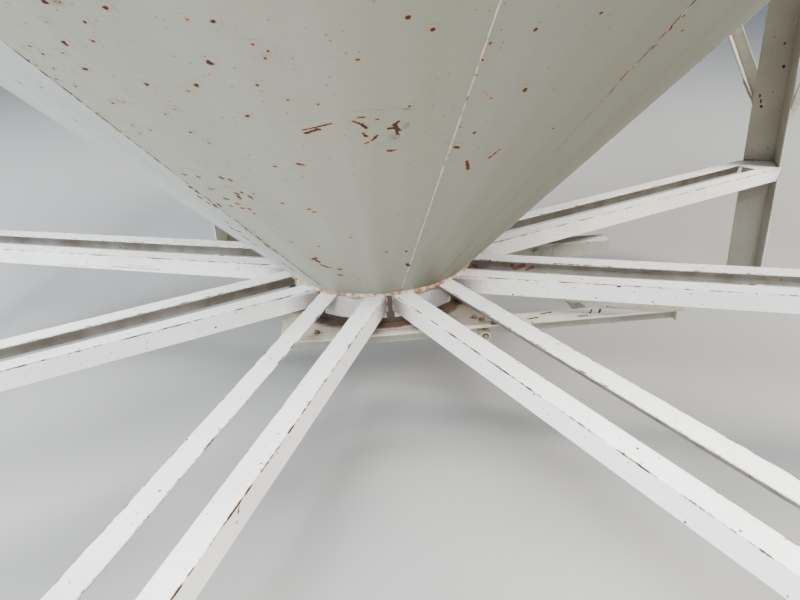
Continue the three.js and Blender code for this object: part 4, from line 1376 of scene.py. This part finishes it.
# %% Weld the struts
FILLET = 3.2
FILLET_OUT = 1.5        # from the face of a web to the middle of its bead
COLLAR_OUT = 1          # from the face of the collar to the middle of the bead
FILLET_ENDS = (2, 8)    # how far a bead stops short of the foot and the top of the web
SEAT_LIFT = 1           # from the top of the seat plate to the middle of its bead
SEAT_START = 2          # how far inside the tip of a wing that bead starts
SEAT_END = (4, 2)       # how far before the leg's corner it ends, and how far to the side
seat_corner = leg.outer - 2 * LEG_TIP_T         # the inside corner of the leg's angle
tip_r = leg.outer - LEG_REACH - LEG_TIP_T       # where the tips of the leg's wings touch the strut
tip_half = LEG_REACH - LEG_TIP_T
collar_beads = []
for offset in (STRUT_HALF + FILLET_OUT, STRUT_HALF - IRON_T - FILLET_OUT):
    meet = math.sqrt(OUTLET_R ** 2 - offset ** 2) + COLLAR_OUT
    for side in (-1, 1):
        collar_beads.append(((meet, side * offset, strut.foot + FILLET_ENDS[0]),
                             (meet, side * offset, strut.top - FILLET_ENDS[1])))
seat_beads = [((tip_r + SEAT_START, side * (tip_half - SEAT_START), strut.top + SEAT_LIFT),
               (seat_corner - SEAT_END[0], side * SEAT_END[1], strut.top + SEAT_LIFT)) for side in (-1, 1)]
weld_work = bmesh.new()
seat_work = bmesh.new()
for index in range(1, BAYS + 1):
    turn = turned_by(leg_direction(index))
    for work, beads in ((weld_work, collar_beads), (seat_work, seat_beads)):
        for start, end in beads:
            straight_bead(work, turn @ Vector(start), turn @ Vector(end), FILLET, rough=LUMPY)
print("faces in the collar welds:", len(weld_work.faces), "in the seat welds:", len(seat_work.faces))
finish_piece("collar_strut_welds", weld_work, dirty_weld_metal)
finish_piece("seat_welds", seat_work, dirty_weld_metal)

# %% [markdown]
# ## Welds at the feet of the braces
# A diagonal ends flat against the outer face of a leg's wing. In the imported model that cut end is
# a face like any other, so the bead can follow it: its edges are the ones whose two ends both lie on
# the plane of the wing.

# %% Weld the braces
ON_PLANE = 1.0
brace_work = bmesh.new()
for index in range(1, BAYS + 1):
    bay = copy_of(f"bay_frame_{index}")
    for neighbour, side in ((index, -1), (index - 1 or BAYS, 1)):
        out = turned_by(leg_direction(neighbour))
        wing = out @ Vector((leg.outer - LEG_REACH / 2, side * LEG_REACH / 2, 0))
        facing = out @ Vector((math.sqrt(0.5), side * math.sqrt(0.5), 0))
        for edge in bay.edges:
            ends = [vertex.co / MM for vertex in edge.verts]
            if all(abs((end - wing).dot(facing)) < ON_PLANE and end.z < leg.top / 2 for end in ends):
                straight_bead(brace_work, ends[0], ends[1], FILLET, pitch=8, rough=LUMPY, sides=6)
    bay.free()
print("faces in the brace welds:", len(brace_work.faces))
finish_piece("brace_welds", brace_work, seam_weld_metal)

# %% [markdown]
# ## Anchor bolts
# Four bolts hold each base plate to its footing. Their nuts and washers are the gate's bolts,
# only larger, with the end of the stud standing out of the nut.

# %% Bolt down the legs
ANCHOR = {"across": 30, "high": 16, "washer_r": 19, "washer_t": 3}
ANCHOR_SPACE = 90       # from the middle of the plate, both ways
STUD_R, STUD_HIGH = 10, 30
BASE_T = 12
base_middle = leg.outer - LEG_REACH / 2
anchor_work = bmesh.new()
for index in range(1, BAYS + 1):
    for along in (-1, 1):
        for across in (-1, 1):
            spot = Vector((base_middle + along * ANCHOR_SPACE, across * ANCHOR_SPACE, BASE_T))
            at = turned_by(leg_direction(index)) @ spot
            hex_bolt(anchor_work, at, **ANCHOR, turn=random.uniform(0, 1))
            stud_place = Matrix.Translation((at + Vector((0, 0, STUD_HIGH / 2))) * MM)
            join_into(anchor_work, round_bar(STUD_R, STUD_HIGH, 12), stud_place)
print("faces in the anchor bolts:", len(anchor_work.faces))
finish_piece("anchor_bolts", anchor_work, bolt_zinc)

# %% [markdown]
# ## Seams of the bin
# The wall is three courses of plate. A ring weld joins one course to the next, and each course has
# four upright seams, shifted from course to course so that no four corners meet. The roof has
# eight seams down its slope. Their ripples are longer than real ones, because nobody sees them close
# by and the whole bin would take millions of faces otherwise.

# %% Weld the bin
COURSES = 3
BIN_BEAD, BIN_PITCH = 4, 16
BIN_SUNK = 1.5                  # how deep the middle of a bead lies in the wall
EAVE_GAP, PEAK_GAP = 3, 6       # how far a seam of the roof stops short of its rim and of the neck
PEAK_SUNK = 3                   # and how deep it ends below the edge of the hole
NECK_OUT = 2                    # from the face of the neck to the middle of its bead
NECK_BEAD = {"radius": 5, "pitch": 10, "rough": 0.4}
course = (wall.top - wall.foot) / COURSES
seam_r = wall.outer - BIN_SUNK
bin_work = bmesh.new()
for level_up in range(COURSES):
    low, high = wall.foot + course * level_up, wall.foot + course * (level_up + 1)
    if level_up:
        ring_bead(bin_work, seam_r, low, BIN_BEAD, pitch=BIN_PITCH, sides=6)
    for index in range(QUARTERS):
        out = turned_by(BAY_TURN + QUARTER * (index + level_up / 2))
        straight_bead(bin_work, out @ Vector((seam_r, 0, low)), out @ Vector((seam_r, 0, high)), BIN_BEAD,
                      pitch=BIN_PITCH, sides=6)
for index in range(BAYS):
    out = turned_by(BAY_TURN + BAY_ANGLE * index)
    eave = out @ Vector((roof.outer - EAVE_GAP, 0, roof.foot + roof_depth))
    peak = out @ Vector((roof.inner + PEAK_GAP, 0, roof.top - PEAK_SUNK))
    straight_bead(bin_work, eave, peak, BIN_BEAD, pitch=BIN_PITCH, sides=6)
ring_bead(bin_work, reach("filling_neck").outer + NECK_OUT, roof.top, **NECK_BEAD)
print("faces in the bin's welds:", len(bin_work.faces))
finish_piece("bin_welds", bin_work, bin_weld_metal)

# %% [markdown]
# ## A handle on the lid
# The lid lifts off by a bent bar. A small circle spun half a turn about a level axis is that bar.

# %% Bend the handle
HANDLE_R, BAR_R = 60, 6
handle_foot = reach("neck_lid").top - 2 * BAR_R
handle_work = bmesh.new()
made = bmesh.ops.create_circle(handle_work, cap_ends=True, segments=10, radius=BAR_R * MM)
bmesh.ops.translate(handle_work, verts=made["verts"], vec=(HANDLE_R * MM, 0, 0))
bmesh.ops.spin(handle_work, geom=handle_work.faces[:] + handle_work.edges[:] + handle_work.verts[:],
               cent=(0, 0, 0), axis=(0, -1, 0), angle=math.pi, steps=16, use_duplicate=False)
bmesh.ops.recalc_face_normals(handle_work, faces=handle_work.faces)
bmesh.ops.translate(handle_work, verts=handle_work.verts, vec=(0, 0, handle_foot * MM))
finish_piece("lid_handle", handle_work, blade_steel)
